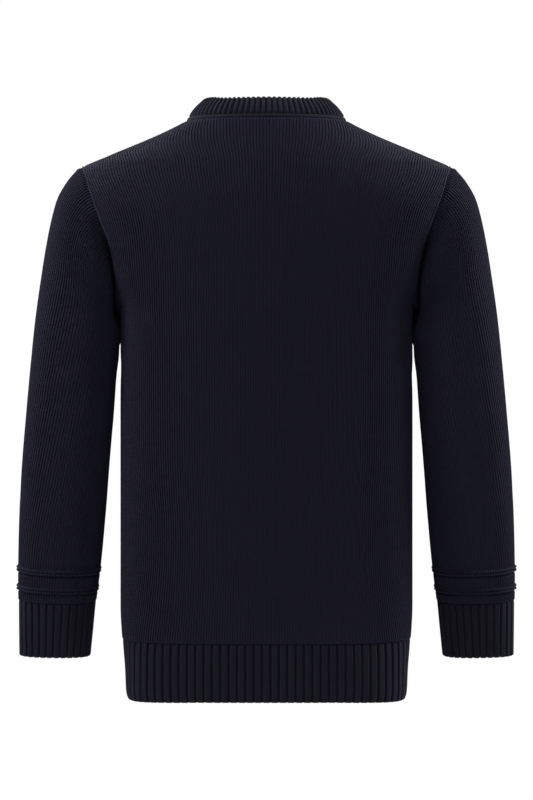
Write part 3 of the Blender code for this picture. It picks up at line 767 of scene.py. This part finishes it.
TOP_FREE = -0.006             # above this the cloth lies as the neck seam holds it
SOFT_EDGE = 0.045             # the cloth keeps to its seams and eases off them over this much


def soft_point(side, share, height, inset):
    """A point of the body where the cloth rounds off the bend at the shoulder line. inset is how
    far into the panel the point lies, in cloth, so that the seams stay where they are."""
    ease = eased(np.clip(inset / SOFT_EDGE, 0, 1))[..., None]
    return (1 - ease) * side.point(share, height) + ease * side.point(share, height, softened_value)


def courses(surface, wales, along):
    """Course numbers of a grid of points, from the length of cloth up each wale."""
    step = 0.0005
    stretch = np.linalg.norm(surface(wales, along + step) - surface(wales, along - step), axis=-1)
    steps = np.diff(along, axis=0, prepend=along[:1]) * stretch / (2 * step)
    return np.cumsum(steps, axis=0) / COURSE


def seam_groove(distance):
    """How far cloth dips where it meets the next piece at a seam, at a distance from the seam."""
    inside = np.clip(1 - distance / GROOVE_WIDTH, 0, 1)
    return GROOVE_DEPTH * (1 - np.sqrt(1 - inside ** 2))


def panel(side, creases):
    wales, heights = panel_places(side)
    edges = np.abs(wale_distance(wales, heights)).max(axis=1, keepdims=True)

    def shares(wale, height):
        return 0.5 - wale_distance(wale, height) / side.length(height)

    def cloth(wale, height):
        inset = np.minimum(edges - np.abs(wale_distance(wale, height)), TOP_FREE - height)
        return soft_point(side, shares(wale, height), height, np.maximum(inset, 0))

    places = np.stack([wales, courses(cloth, wales, heights)], axis=-1)
    found = normals(cloth, wales, heights, WALE_STEP, HEIGHT_STEP)
    outward = facing_out(found, cloth(wales, heights))
    at_edge = (np.abs(wales) >= np.abs(wales).max(axis=1, keepdims=True) - 0.6)[..., None]
    outward = np.where(at_edge, side.normals(shares(wales, heights), heights), outward)
    heights_up = heights - HEM_SEAM_Z
    distance = wale_distance(wales, heights)
    base = cloth(wales, heights) - crease_depth(distance, heights, creases)[..., None] * outward
    to_top = np.interp(np.abs(wales), *top_outline(side)) - heights
    relief = wale_relief(wales) - seam_groove(heights_up) - seam_groove(to_top)
    return cloth_wall("knit_" + side.side, base, outward, relief, CLOTH, places, POINTS_PER_WALE,
                      [PLAIN, PURL])


knit_back = panel(SIDES["back"], BACK_CREASES)
knit_front = panel(SIDES["front"], FRONT_CREASES)

# %% [markdown]
# ## The hem rib
#
# A two by one rib: two wales of plain knit stand proud, and one purl wale sinks between them, so
# the cloth draws in and grips. Its lower edge is a cast-on edge, rounded and a little thick.

# %% Knit the hem ribs
HEM_RIBS = {"back": 47, "front": 49}
RIB_FALL = 0.0033             # from the crest of a rib down to the purl wale beside it
RIB_STEPS = (0.0, 0.085, 0.13, 0.21, 0.34, 0.5, 0.66, 0.79, 0.87, 0.915)
RIB_SECTION = ((*RIB_STEPS, 1.0),
               (0.0, 0.04, 0.60, 0.92, 1.0, 0.78, 1.0, 0.92, 0.60, 0.04, 0.0))
RIB_WALES = ((0.0, 0.13, 0.5, 0.87, 1.0), (-0.5, 0.0, 1.0, 2.0, 2.5))
WALES_PER_RIB = 3
RIB_WALL = 0.0016             # cloth left behind the furrows
EDGE_ROUND = 0.0014           # radius of the cast-on edge
RIB_TOP_ROUND = 0.0026        # the crests round over into the seam groove within this height
TOP_SINK = 0.8                # how far they sink there, as a share of RIB_FALL
FIRST_ROW, ROW_STEP, TOP_CLEAR = 0.004, 0.0042, 0.001


def rib_columns(count, steps=RIB_STEPS):
    """Places of the points across a run of ribs, in ribs."""
    return np.append((np.arange(count)[:, None] + np.array(steps)[None, :]).ravel(), count)


def rib_rows(length):
    """Distances up a rib from its cast-on edge, closer together at both ends."""
    ends = np.array([0.0, 0.15, 0.45, 1.0]) * EDGE_ROUND
    body = np.arange(FIRST_ROW, length - RIB_TOP_ROUND - TOP_CLEAR, ROW_STEP)
    top = length - RIB_TOP_ROUND * np.array([1.0, 0.6, 0.3, 0.1, 0.0])
    return np.concatenate([ends, body, top])


def rib_drop(ribs, distance, length):
    """How far a rib's surface lies below its crest, with its rounded lower edge and top."""
    furrow = RIB_FALL * (1 - np.interp(ribs % 1.0, *RIB_SECTION))
    near_top = np.clip(1 - (length - distance) / RIB_TOP_ROUND, 0, 1)
    rounded = RIB_FALL * TOP_SINK * (1 - np.sqrt(1 - near_top ** 2))
    edge = EDGE_ROUND - np.sqrt(EDGE_ROUND ** 2 - np.clip(EDGE_ROUND - distance, 0, None) ** 2)
    return np.maximum(furrow, rounded) + edge


def rib_wall(name, surface, outward, across, up, length, hand=None):
    """A wall of two by one rib on a surface, from its places in ribs and its distances up them."""
    wales = WALES_PER_RIB * np.floor(across) + np.interp(across % 1.0, *RIB_WALES)
    places = np.stack([wales, up / COURSE], axis=-1)
    return cloth_wall(name, surface, outward, -rib_drop(across, up, length), RIB_FALL + RIB_WALL,
                      places, len(RIB_STEPS), [RIB_KNIT_PAINTED_SHADE, PURL], hand)


SIDE_GAP = 0.0001             # share of the rib's run that is left open at each side seam
CORNER_FROM_MIDDLE = (0.35, 0.55, 0.70, 0.82, 0.92, 1.0)
CORNER_SAG = (0.0, 0.0010, 0.0022, 0.0028, 0.0022, 0.0008)
HEM_HALF_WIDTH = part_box("hem_rib_back")[1].x
FOOT_UP = (0.0, 0.002, 0.005, 0.010, 0.035, 0.050)     # heights above the cast-on edge
FOOT_IN = (0.0042, 0.0028, 0.0018, 0.0011, 0.0006, 0.0)  # how far the sides draw in there


def drawn_in(points, up):
    """The same points, moved towards the middle near the hem's foot and most at its sides."""
    moved = points.copy()
    moved[..., 0] *= 1 - np.interp(up, FOOT_UP, FOOT_IN) / HEM_HALF_WIDTH
    return moved


def hem_rib(side):
    ribs, length = HEM_RIBS[side.side], HEM_SEAM_Z - HEM_Z
    across, up = np.meshgrid(rib_columns(ribs), rib_rows(length))
    from_middle = np.abs(2 * across / ribs - 1)
    sag = np.interp(from_middle, CORNER_FROM_MIDDLE, CORNER_SAG) * (1 - up / length)
    heights = HEM_Z + up - sag
    share = 1 - np.clip(across / ribs, SIDE_GAP, 1 - SIDE_GAP)
    outward = side.normals(share, heights)
    surface = drawn_in(side.point(share, heights), up)
    return rib_wall("knit_hem_" + side.side, surface, outward, across, up, length)


hem_back = hem_rib(SIDES["back"])
hem_front = hem_rib(SIDES["front"])

# %% [markdown]
# ## The sleeves
#
# A set-in sleeve is knitted flat and joined along the inside of the arm. Its wales run down from
# the shoulder tip and drift slowly towards the front, because the arm turns. Two welts, tucks
# where a few courses are knitted together, stand round it above the cuff like cords.

# %% The surface of the arm
ARMHOLE_SAMPLES = 193
WELT_CENTRES_Z = (-0.5490, -0.5722)
WELT_HEIGHT, WELT_RAISE = 0.0064, 0.0022


def plain_ring(turn, reach):
    """The sleeve's ring: turn 0 is the outside of the arm, 0.25 its back, 0.5 its inside."""
    value = {name: sleeve_value(reach, name) for name in SLEEVE_COLUMNS}
    across, back = rounded_square(2 * math.pi * turn, value["squareness"])
    back = value["half_depth"] * back
    x = (value["outer_x"] * (1 + across) + value["inner_x"] * (1 - across)) / 2
    z = (value["outer_z"] * (1 + across) + value["inner_z"] * (1 - across)) / 2
    return np.stack([x, value["middle_y"] + back, z - value["drop"] * back], axis=-1)


ARMHOLE_TURNS = np.linspace(0, 1, ARMHOLE_SAMPLES)
ARMHOLE_POINTS, ARMHOLE_NORMALS = armhole_loop(ARMHOLE_TURNS)
ARMHOLE_BEND = ARMHOLE_POINTS - plain_ring(ARMHOLE_TURNS, np.zeros(ARMHOLE_SAMPLES))


def arm_point(turn, reach):
    """A point of the +X arm. Near the armhole the rings bend to meet the armhole seam."""
    turn, reach = np.broadcast_arrays(np.asarray(turn, float), np.asarray(reach, float))
    fade = np.clip(1 - reach / ARMHOLE_FADE, 0, 1) ** 2
    bend = [np.interp(turn % 1.0, ARMHOLE_TURNS, ARMHOLE_BEND[:, axis]) for axis in range(3)]
    return plain_ring(turn, reach) + fade[..., None] * np.stack(bend, axis=-1)


def arm_normals(turns, reaches):
    """Outward normals of the arm, from steps that stay clear of its two ends."""
    step = 0.004
    safe = np.clip(reaches, step, sleeve_reach()[-1] - step)
    return -normals(arm_point, turns, safe, step, step)


def ring_table(reach):
    """(turns, distances): distance along the cloth from the top line, behind it and in front."""
    turns = np.linspace(-0.5, 0.5, 2 * RING_SAMPLES - 1)
    ring = arm_point(turns, np.full(len(turns), reach))
    run = path_run(ring)
    return turns, run - run[RING_SAMPLES - 1]


print("sleeve round at the top in mm:", round(1000 * np.ptp(ring_table(0.1)[1])))

# %% Knit the sleeves
SEAM_SWELL = 0.0002           # the cloth stands proud along the seam under the arm
SEAM_FADE = 1.2               # wales over which the relief dies away beside the seam under the arm
WELT_FADE = 8.0               # wales over which the welts are pressed flatter beside that seam
WELT_SECTION = (              # below the middle and raised, in welt heights and raises
    (-0.80, 0.0), (-0.58, 0.35), (-0.38, 1.0), (-0.08, 0.20), (0.20, 1.0), (0.40, 0.35),
    (0.55, -0.60), (0.72, -0.55), (0.94, 0.0),
)


def sleeve_rows():
    """(reaches, raises) of the sleeve's rows, with a rounded ridge at each welt."""
    end = reach_at_height(CUFF_SEAM_Z)
    reaches = {float(r): 0.0 for r in np.concatenate([
        np.linspace(0, 0.012, 7), np.linspace(0.012, 0.04, 8)[1:], np.linspace(0.04, end, 68)[1:],
    ])}
    for offset in (0.75, 0.4, 0.15):
        reaches[end - offset * GROOVE_WIDTH] = 0.0
    for centre in WELT_CENTRES_Z:
        middle = reach_at_height(centre)
        for reach in [r for r in reaches if abs(r - middle) < WELT_HEIGHT]:
            del reaches[reach]
        for offset, raised in WELT_SECTION:
            reaches[middle + offset * WELT_HEIGHT] = WELT_RAISE * raised
    ordered = sorted(reaches)
    return np.array(ordered), np.array([reaches[reach] for reach in ordered])


FOLD_AROUND = (               # turn round the armhole, and how strong the fold is there
    (0.0, 0.0), (0.18, 0.0), (0.24, 0.40), (0.29, 0.95), (0.36, 1.0), (0.43, 0.72), (0.47, 0.30),
    (0.495, 0.0), (0.505, 0.0), (0.54, 0.4), (0.60, 0.75), (0.67, 0.6), (0.73, 0.2), (0.79, 0.0),
    (1.0, 0.0),
)
FOLD_DEPTH, FOLD_START, FOLD_SHAPE = 0.031, 0.0018, 1.6
FOLD_SHORT, FOLD_LONG = 0.020, 0.056        # how far down the arm it runs, at its top and foot
FOLD_FOOT, FOLD_FOOT_FADE = 0.34, 0.08      # the turn from the top where the foot begins, and its fade
FOLD_FORWARD = np.array([0.2, 1.0, 0.2])    # the fold sinks forwards or back, hardly up or aside
ALLOWANCE_REACH, ALLOWANCE_WIDTH, ALLOWANCE_RAISE = 0.0072, 0.0026, 0.0011
ALLOWANCE_TURN, ALLOWANCE_FADE = 0.24, 0.12


def underarm_fold(turns, reaches):
    """How deep the cloth sinks where the sleeve falls in behind the edge of the body."""
    turn = turns % 1.0
    around = curve(turn, FOLD_AROUND)
    foot = np.clip((0.5 - np.abs(turn - 0.5) - FOLD_FOOT) / FOLD_FOOT_FADE, 0, 1)
    run = FOLD_SHORT + (FOLD_LONG - FOLD_SHORT) * eased(foot)
    entry = 1 - np.exp(-reaches / FOLD_START)
    return FOLD_DEPTH * around * entry * np.exp(-(reaches / run) ** FOLD_SHAPE)


INSIDE_EASE = (               # reach, and how much slacker the inside of the arm is
    (0.0, 0.0), (0.181, 0.0), (0.190, 0.0014), (0.198, 0.0032), (0.208, 0.0032), (0.222, 0.0021),
    (0.245, 0.0012), (0.285, 0.0011), (0.335, 0.0014), (0.385, 0.0008), (0.44, 0.0), (0.62, 0.0),
)
INSIDE_TURNS = 0.12           # how far round the arm it spreads to each side


def inside_ease(turns, reaches):
    """How deep the cloth sinks on the inside of the arm, where it comes free of the body."""
    along = curve(reaches, INSIDE_EASE)
    around = np.clip(1 - np.abs(turns % 1.0 - 0.5) / INSIDE_TURNS, 0, 1)
    return along * eased(around)


def allowance_ridge(turns, reaches):
    """The seam allowance lies under the sleeve's head and lifts it in a soft ridge."""
    from_top = np.minimum(turns % 1.0, 1 - turns % 1.0)
    fade = np.clip((ALLOWANCE_TURN - from_top) / ALLOWANCE_FADE, 0, 1)
    return ALLOWANCE_RAISE * fade * np.exp(-((reaches - ALLOWANCE_REACH) / ALLOWANCE_WIDTH) ** 2)


def sleeve(hand):
    reaches, raises = sleeve_rows()
    tables = [ring_table(reach) for reach in reaches]
    lows = [wale_at(sleeve_distance, d[0], r) for (_, d), r in zip(tables, reaches)]
    highs = [wale_at(sleeve_distance, d[-1], r) for (_, d), r in zip(tables, reaches)]
    first, last = math.floor(min(lows)), math.ceil(max(highs))
    across = np.arange(first * POINTS_PER_WALE, last * POINTS_PER_WALE + 1) / POINTS_PER_WALE
    wales = np.stack([np.clip(across, low, high) for low, high in zip(lows, highs)])
    distance = sleeve_distance(wales, reaches[:, None])
    turns = np.stack([np.interp(row, d, t) for row, (t, d) in zip(distance, tables)])
    along = np.broadcast_to(reaches[:, None], turns.shape)
    outward = arm_normals(turns, along)
    sunk = crease_depth(distance, along, SLEEVE_CREASES) + inside_ease(turns, along)
    base = arm_point(turns, along) - (sunk - allowance_ridge(turns, along))[..., None] * outward
    base -= underarm_fold(turns, along)[..., None] * unit(outward * FOLD_FORWARD)
    beside_seam = np.minimum(wales - np.array(lows)[:, None], np.array(highs)[:, None] - wales)
    knitted = np.clip(beside_seam / SEAM_FADE, 0, 1)
    flattened = 0.5 + 0.5 * np.clip(beside_seam / WELT_FADE, 0, 1)
    relief = wale_relief(wales) * knitted + SEAM_SWELL * (1 - knitted) + raises[:, None] * flattened
    relief -= seam_groove(reaches[-1] - reaches)[:, None]
    stretch = np.linalg.norm(np.diff(base, axis=0, prepend=base[:1]), axis=-1)
    places = np.stack([wales, -np.cumsum(stretch.mean(axis=1))[:, None] / COURSE + 0 * wales], axis=-1)
    return cloth_wall("knit_sleeve_" + hand, base, outward, relief, CLOTH, places, POINTS_PER_WALE,
                      [PLAIN, PURL], hand)


sleeves = {hand: sleeve(hand) for hand in ("left", "right")}

# %% [markdown]
# ## The cuffs
#
# The cuffs are the same rib in the round. A tube's grid meets itself at the inside of the arm.

# %% Knit the cuffs
CUFF_RIBS = 28


def cuff(hand):
    top, bottom = reach_at_height(CUFF_SEAM_Z), sleeve_reach()[-1]
    up = rib_rows(bottom - top)
    across = rib_columns(CUFF_RIBS)
    turns = []
    for reach in bottom - up:
        table, distance = ring_table(reach)
        shares = (distance - distance[0]) / np.ptp(distance)
        turns.append(np.interp(across / CUFF_RIBS, shares, table))
    turns = np.stack(turns)
    across, up = np.meshgrid(across, up)
    reaches = bottom - up
    return rib_wall("knit_cuff_" + hand, arm_point(turns, reaches), arm_normals(turns, reaches),
                    across, up, bottom - top, hand)


cuffs = {hand: cuff(hand) for hand in ("left", "right")}

# %% [markdown]
# ## The neck rib
#
# The neck band is a strip of one by one rib, folded over on itself and linked down on both faces,
# so it is ribbed outside and inside with a round fold on top. Its grid runs up the outside, over
# the fold and down the inside.

# %% Knit the neck band
NECK_RIBS = 92
NECK_CLOTH = 0.0046
NECK_FALL = 0.0032
ROLL_HEIGHT, ROLL_DIP = 0.0056, 0.0034   # the plain roll at the foot, between its two grooves
ROLL_STOPS = (0.0006, 0.0009, 0.0014, 0.0022, 0.0030, 0.0038, 0.0046, 0.0051, 0.0054, 0.0057,
              0.0064, 0.0076, 0.0092)
FOLD_SHARE, INSIDE_SHARE = 0.45, 0.30    # how deep the furrows stay over the fold and inside it
NECK_STEPS = (0.0, 0.12, 0.26, 0.5, 0.74, 0.88)
NECK_SECTION = ((*NECK_STEPS, 1.0), (0.0, 0.12, 0.84, 1.0, 0.84, 0.12, 0.0))
NECK_ROWS, FOLD_ROWS = 9, 6
RIB_START, FOLD_FADE = 0.0036, 0.004     # heights in which the ribs rise and then grow shallower


def neck_base(count):
    """The neck seam, round from the +X shoulder over the back, at equal steps of length."""
    fine = []
    there = np.linspace(0, 1, 121)
    for side, shares in ((SIDES["back"], there), (SIDES["front"], there[::-1])):
        for share in shares[:-1]:
            place, height = neckline(side, share)
            fine.append(side.point(place, height))
    fine = np.array(fine + fine[:1])
    run = path_run(fine)
    return np.stack([np.interp(count * run[-1], run, fine[:, axis]) for axis in range(3)], axis=-1)


NECK_LIFT = (                 # share of the way from the middle to the neck point, and lift
    (0.0, 0.0028), (0.6, 0.0022), (0.7, 0.0025), (0.84, 0.0036), (0.93, 0.0034), (1.0, 0.0024),
)
LIFT_FADE = 0.03              # below the neck points it dies away within this height


def neck_lift(base):
    """How much higher than its plain profile the band stands along the back and sides."""
    from_middle = np.clip(np.abs(base[:, 0]) / NECK_HALF_WIDTH, 0, 1)
    lift = curve(from_middle, NECK_LIFT)
    front = np.clip(-base[:, 2] / LIFT_FADE, 0, 1) * (base[:, 1] < 0)
    return (lift * (1 - eased(front)))[:, None]


def neck_surface(shares, distance):
    """(points, outward, along) of the band's outside at a distance from its seam."""
    step = 0.002
    base = neck_base(shares % 1.0)
    tangent = neck_base((shares + step) % 1.0) - neck_base((shares - step) % 1.0)
    inwards = unit(np.stack([-tangent[:, 1], tangent[:, 0], np.zeros(len(base))], axis=-1))
    leans, rises = np.array(NECK_PROFILE).T
    run = running(np.hypot(np.diff(leans), np.diff(rises)))
    up = np.array([0.0, 0.0, 1.0])

    lift = 1 + neck_lift(base) / rises[-1]

    def at(reach):
        return base + smooth(reach, run, leans) * inwards + smooth(reach, run, rises) * lift * up

    nudge = 0.0005
    along = unit(at(min(distance + nudge, run[-1])) - at(max(distance - nudge, 0.0)))
    return at(distance), unit(np.cross(tangent, along)), along


TONGUE_LENGTH, TONGUE_DEPTH = 0.0022, 0.0035   # the band's raw foot lies behind the panels' edges


def neck_drop(drop, distance):
    """How far the band's face lies below its crests: a plain roll first, then the ribs."""
    if distance <= ROLL_HEIGHT:
        across_roll = 2 * (distance - NECK_SEAM_GAP) / (ROLL_HEIGHT - NECK_SEAM_GAP) - 1
        return ROLL_DIP * (1 - max(0.0, 1 - across_roll ** 4) ** 0.5) + 0 * drop
    start = max(0.0, 1 - (distance - ROLL_HEIGHT) / RIB_START)
    return np.maximum(drop, ROLL_DIP * (1 - math.sqrt(1 - start ** 2)))


def neck_band():
    across = rib_columns(NECK_RIBS, NECK_STEPS)
    shares = across / NECK_RIBS
    radius = NECK_CLOTH / 2
    fold = float(np.sum(np.hypot(*np.diff(np.array(NECK_PROFILE), axis=0).T))) - radius
    stops = np.concatenate([ROLL_STOPS, np.linspace(ROLL_STOPS[-1], fold, NECK_ROWS)[1:]])
    drop = NECK_FALL * (1 - np.interp(across % 1.0, *NECK_SECTION))[:, None]
    rows, lengths = [], []
    point, outward, along = neck_surface(shares, NECK_SEAM_GAP)
    for depth, reach in ((NECK_CLOTH, TONGUE_LENGTH), (TONGUE_DEPTH, TONGUE_LENGTH), (TONGUE_DEPTH, 0)):
        rows.append(point - depth * outward - reach * along)
        lengths.append(-reach)
    for stop in stops:
        point, outward, along = neck_surface(shares, stop)
        ease = FOLD_SHARE + (1 - FOLD_SHARE) * min(1.0, (fold - stop) / FOLD_FADE)
        rows.append(point - ease * neck_drop(drop, stop) * outward)
        lengths.append(stop)
    point, outward, along = neck_surface(shares, fold)
    middle = point - radius * outward
    for angle in np.linspace(0, math.pi, FOLD_ROWS + 1)[1:-1]:
        out = math.cos(angle) * outward + math.sin(angle) * along
        rows.append(middle + (radius - FOLD_SHARE * drop) * out)
        lengths.append(fold + radius * angle)
    for stop in np.linspace(fold, NECK_SEAM_GAP, NECK_ROWS):
        point, outward, along = neck_surface(shares, stop)
        rows.append(point - (NECK_CLOTH - INSIDE_SHARE * drop) * outward)
        lengths.append(2 * fold - stop + radius * math.pi)
    loop = np.stack(rows + rows[:1])
    lengths = np.array(lengths + [lengths[-1] + NECK_CLOTH])
    places = np.stack(np.meshgrid(2 * across + 0.5, lengths / COURSE), axis=-1)
    faces = grid_faces(*loop.shape[:2], 0).tolist()
    made = build_mesh(
        "knit_neck", loop.reshape(-1, 3), places.reshape(-1, 2), faces, [0] * len(faces), [RIB_KNIT_PAINTED_SHADE],
    )
    print("knit_neck triangles:", 2 * len(faces))
    return made


neck = neck_band()

# %% [markdown]
# ## Linking
#
# The pieces are joined on a linking machine, whose chain of loops lies along each seam as a fine
# ridge. Each loop is a small bead of yarn, turned a little across the line of the seam. They are
# one mesh a seam, made by placing the same bead again and again.

# %% Chains of linking stitches
BEAD_ROUND, BEAD_RINGS = 8, 5
LINK_PITCH = 0.0026


def bead():
    """A unit sphere's points and faces, low in detail, with its long way along X."""
    shape = bmesh.new()
    bmesh.ops.create_uvsphere(shape, u_segments=BEAD_ROUND, v_segments=BEAD_RINGS, radius=1.0)
    points = np.array([v.co[:] for v in shape.verts])
    faces = [[v.index for v in f.verts] for f in shape.faces]
    shape.free()
    return points, faces


def chain(name, path, outward, size, turn, material=PLAIN):
    """Beads of size (length, width, height) along a path, each turned across it by an angle."""
    run = path_run(path)
    count = int(run[-1] / LINK_PITCH)
    stops = (np.arange(count) + 0.5) / count * run[-1]

    def read(values, at):
        return np.stack([np.interp(at, run, values[:, axis]) for axis in range(3)], axis=-1)

    middle, up = read(path, stops), unit(read(outward, stops))
    ahead = read(path, stops + LINK_PITCH / 4) - read(path, stops - LINK_PITCH / 4)
    ahead = unit(ahead - np.sum(ahead * up, axis=1, keepdims=True) * up)
    aside = np.cross(up, ahead)
    long_way = math.cos(turn) * ahead + math.sin(turn) * aside
    wide_way = np.cross(up, long_way)
    points, faces = bead()
    placed = (
        middle[:, None] + size[0] / 2 * points[None, :, :1] * long_way[:, None]
        + size[1] / 2 * points[None, :, 1:2] * wide_way[:, None]
        + size[2] / 2 * points[None, :, 2:] * up[:, None]
    ).reshape(-1, 3)
    every = [[i + k * len(points) for i in face] for k in range(count) for face in faces]
    stitch = np.tile(points[:, :2], (count, 1)) * 0.4
    made = build_mesh(name, placed, stitch, every, [0] * len(every), [material])
    print(name, "stitches:", count)
    return made


# %% Chains round the armholes, along the shoulders and sides, and round the neck
LINK = (0.0046, 0.0022, 0.0029)
LINK_TURN = math.radians(14)
SIDE_LINK, SIDE_TURN = (0.0036, 0.0019, 0.0022), 0.5
SIDE_SUNK, SLEEVE_SUNK, NECK_SUNK = 0.0009, 0.0008, 0.0012
NECK_LINK, NECK_TURN = (0.0034, 0.0016, 0.0018), math.radians(12)
END_CLEAR = 0.002             # chains stop this far from the open edges
LINK_REACH = 0.006            # how far down the sleeve its side of the armhole ridge is read
SHOULDER_ENDS = (-0.0004, SHOULDER_TIP_Z + 0.001)
SHOULDER_STOPS, SIDE_STOPS, SLEEVE_STOPS, NECK_STOPS = 60, 120, 160, 481
LINK_LIFT = np.interp(np.cos(2 * math.pi * ARMHOLE_TURNS), (-0.3, 0.3), (-0.0022, 0.0006))
seams = []



def seam_lines():
    """(name, path, outward, size, turn, material) of each chain on the +X half of the garment."""
    outward = ARMHOLE_NORMALS + arm_normals(ARMHOLE_TURNS, np.full(ARMHOLE_SAMPLES, LINK_REACH))
    path = ARMHOLE_POINTS + LINK_LIFT[:, None] * ARMHOLE_NORMALS
    # only the armhole chain takes the yarn painted lighter as its highlight
    yield "armhole", path, outward, LINK, LINK_TURN, LINKING_PAINTED_HIGHLIGHT
    heights = np.linspace(*SHOULDER_ENDS, SHOULDER_STOPS)
    side, edge = SIDES["back"], np.zeros(SHOULDER_STOPS)
    yield "shoulder", side.point(edge, heights), side.normals(edge, heights), LINK, LINK_TURN, PLAIN
    heights = np.linspace(HEM_Z + END_CLEAR, UNDERARM_Z - END_CLEAR, SIDE_STOPS)
    edge = drawn_in(side.point(np.zeros(SIDE_STOPS), heights), heights - HEM_Z)
    outward = np.tile([1.0, 0.0, 0.0], (SIDE_STOPS, 1))
    sunk = SIDE_SUNK + (RIB_FALL - SIDE_SUNK) * (heights < HEM_SEAM_Z)
    yield "side", edge - sunk[:, None] * outward, outward, SIDE_LINK, SIDE_TURN, PLAIN
    reaches = np.linspace(END_CLEAR, sleeve_reach()[-1] - END_CLEAR, SLEEVE_STOPS)
    inside = np.full(SLEEVE_STOPS, 0.5)
    outward = arm_normals(inside, reaches)
    path = arm_point(inside, reaches) - (SLEEVE_SUNK + inside_ease(0.5, reaches))[:, None] * outward
    yield "sleeve", path, outward, SIDE_LINK, SIDE_TURN, PLAIN


for hand in ("left", "right"):
    for name, path, outward, size, turn, material in seam_lines():
        seams.append(chain("linking_" + name + "_" + hand, mirrored(path, hand),
                           mirrored(outward, hand), size, turn, material))
neck_path, neck_out, _ = neck_surface(np.linspace(0, 1, NECK_STOPS), 0.0)
seams.append(chain("linking_neck", neck_path - NECK_SUNK * neck_out, neck_out, NECK_LINK, NECK_TURN))

# %% [markdown]
# ## Which piece stands for what
#
# Every piece rides on the frame's one body and takes the place of its plain wall. Each is listed
# with its kind of knit and its flat size in metres, across and down. The tubes' sizes go all round.

CUTS = {
    "panel_back": (knit_back, "knit", (0.47, 0.685)),
    "panel_front": (knit_front, "knit", (0.49, 0.67)),
    "sleeve_left": (sleeves["left"], "knit", (0.37, 0.56)),
    "sleeve_right": (sleeves["right"], "knit", (0.37, 0.56)),
    "hem_rib_back": (hem_back, "rib", (0.48, 0.07)),
    "hem_rib_front": (hem_front, "rib", (0.51, 0.07)),
    "cuff_left": (cuffs["left"], "rib", (0.25, 0.070)),
    "cuff_right": (cuffs["right"], "rib", (0.25, 0.070)),
    "neck_rib": (neck, "rib", (0.59, 0.035)),
}
for node, (piece, slot, flat) in CUTS.items():
    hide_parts(node)
    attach(piece, "root")
for seam in seams:
    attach(seam, "root")

# %% [markdown]
# ## The studio
#
# The sweater was photographed from behind on pure white in soft, even light, a little brighter on
# the shoulders and the outer edges of the sleeves. A white world gives that light, and large soft
# lamps add the shape. The floor is pale and lies below the picture.

# %% Floor, light and camera
STUDIO_WHITE = "#ffffff"
FILL_BELOW, FILL_ABOVE = 0.08, 0.62  # light that the white studio itself sends back to the knit
FILL_FROM = (0.34, 0.0, 0.94)      # it comes from above and from the left of the picture
FLOOR_PALE = "#e6e6e8"
FLOOR_Z = -1.45
FLOOR_RADIUS = 2.0
CAMERA_DISTANCE = 2.5
CAMERA_HEIGHT = -0.3407
VIEW_HEIGHT_AT_ORIGIN = 0.984      # metres of the picture's height at the garment's middle
SENSOR = 36.0

bpy.context.scene.view_settings.view_transform = "Standard"
bpy.context.scene.view_settings.look = "None"
world = bpy.data.worlds.new("studio")
world.use_nodes = True
backing = world.node_tree.nodes["Background"]
backing.inputs["Color"].default_value = linear(STUDIO_WHITE)
ray = add(world.node_tree, "ShaderNodeLightPath")
heading = add(world.node_tree, "ShaderNodeTexCoord")
facing_fill = add(
    world.node_tree, "ShaderNodeVectorMath", {0: heading.outputs["Generated"], 1: FILL_FROM},
    operation="DOT_PRODUCT",
)
fill = add(
    world.node_tree, "ShaderNodeMapRange",
    {"Value": facing_fill.outputs["Value"], "From Min": -0.6, "From Max": 0.6,
     "To Min": FILL_BELOW, "To Max": FILL_ABOVE},
)
strength = add(
    world.node_tree, "ShaderNodeMix",
    {"Factor": ray.outputs["Is Camera Ray"], "A": fill.outputs[0], "B": 1.0},
)
world.node_tree.links.new(strength.outputs["Result"], backing.inputs["Strength"])
bpy.context.scene.world = world

bpy.ops.mesh.primitive_circle_add(vertices=96, radius=FLOOR_RADIUS, fill_type="NGON",
                                  location=(0, 0, FLOOR_Z))
floor = bpy.context.object
floor.name = "floor"
floor_paint, floor_shader = new_material("matt_floor_paint", 0.7, 0.0, "#ffffff")
floor_shader.inputs["Base Color"].default_value = linear(FLOOR_PALE)
floor.data.materials.append(floor_paint)
floor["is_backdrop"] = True


def soft_lamp(name, place, target, size, watts):
    lamp = bpy.data.lights.new(name, "AREA")
    lamp.shape = "DISK"
    lamp.size = size
    lamp.energy = watts
    made = bpy.data.objects.new(name, lamp)
    made.location = place
    made.rotation_euler = (Vector(target) - Vector(place)).to_track_quat("-Z", "Y").to_euler()
    bpy.context.scene.collection.objects.link(made)
    return made


for facing, side_name in ((1, "back"), (-1, "front")):
    soft_lamp("top_lamp_" + side_name, (0.1, 1.6 * facing, 1.5), (0.0, 0.0, -0.1), 0.9, 18)
    soft_lamp("left_lamp_" + side_name, (1.6, 0.72 * facing, 0.7), (0.15, 0.0, -0.2), 0.8, 34)
soft_lamp("right_lamp", (-1.8, -0.15, 0.6), (-0.2, 0.0, -0.2), 0.8, 72)

camera_data = bpy.data.cameras.new("camera")
camera_data.sensor_width = SENSOR
camera_data.lens = SENSOR * CAMERA_DISTANCE / VIEW_HEIGHT_AT_ORIGIN
camera = bpy.data.objects.new("camera", camera_data)
camera.location = (0.0, CAMERA_DISTANCE, CAMERA_HEIGHT)
camera.rotation_euler = (math.pi / 2, 0.0, math.pi)
bpy.context.scene.collection.objects.link(camera)
bpy.context.scene.camera = camera

# %% Note the sizes and finish
visual_box = [list(corner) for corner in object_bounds()]
print("visual box in mm:", [[round(1000 * v) for v in corner] for corner in visual_box])
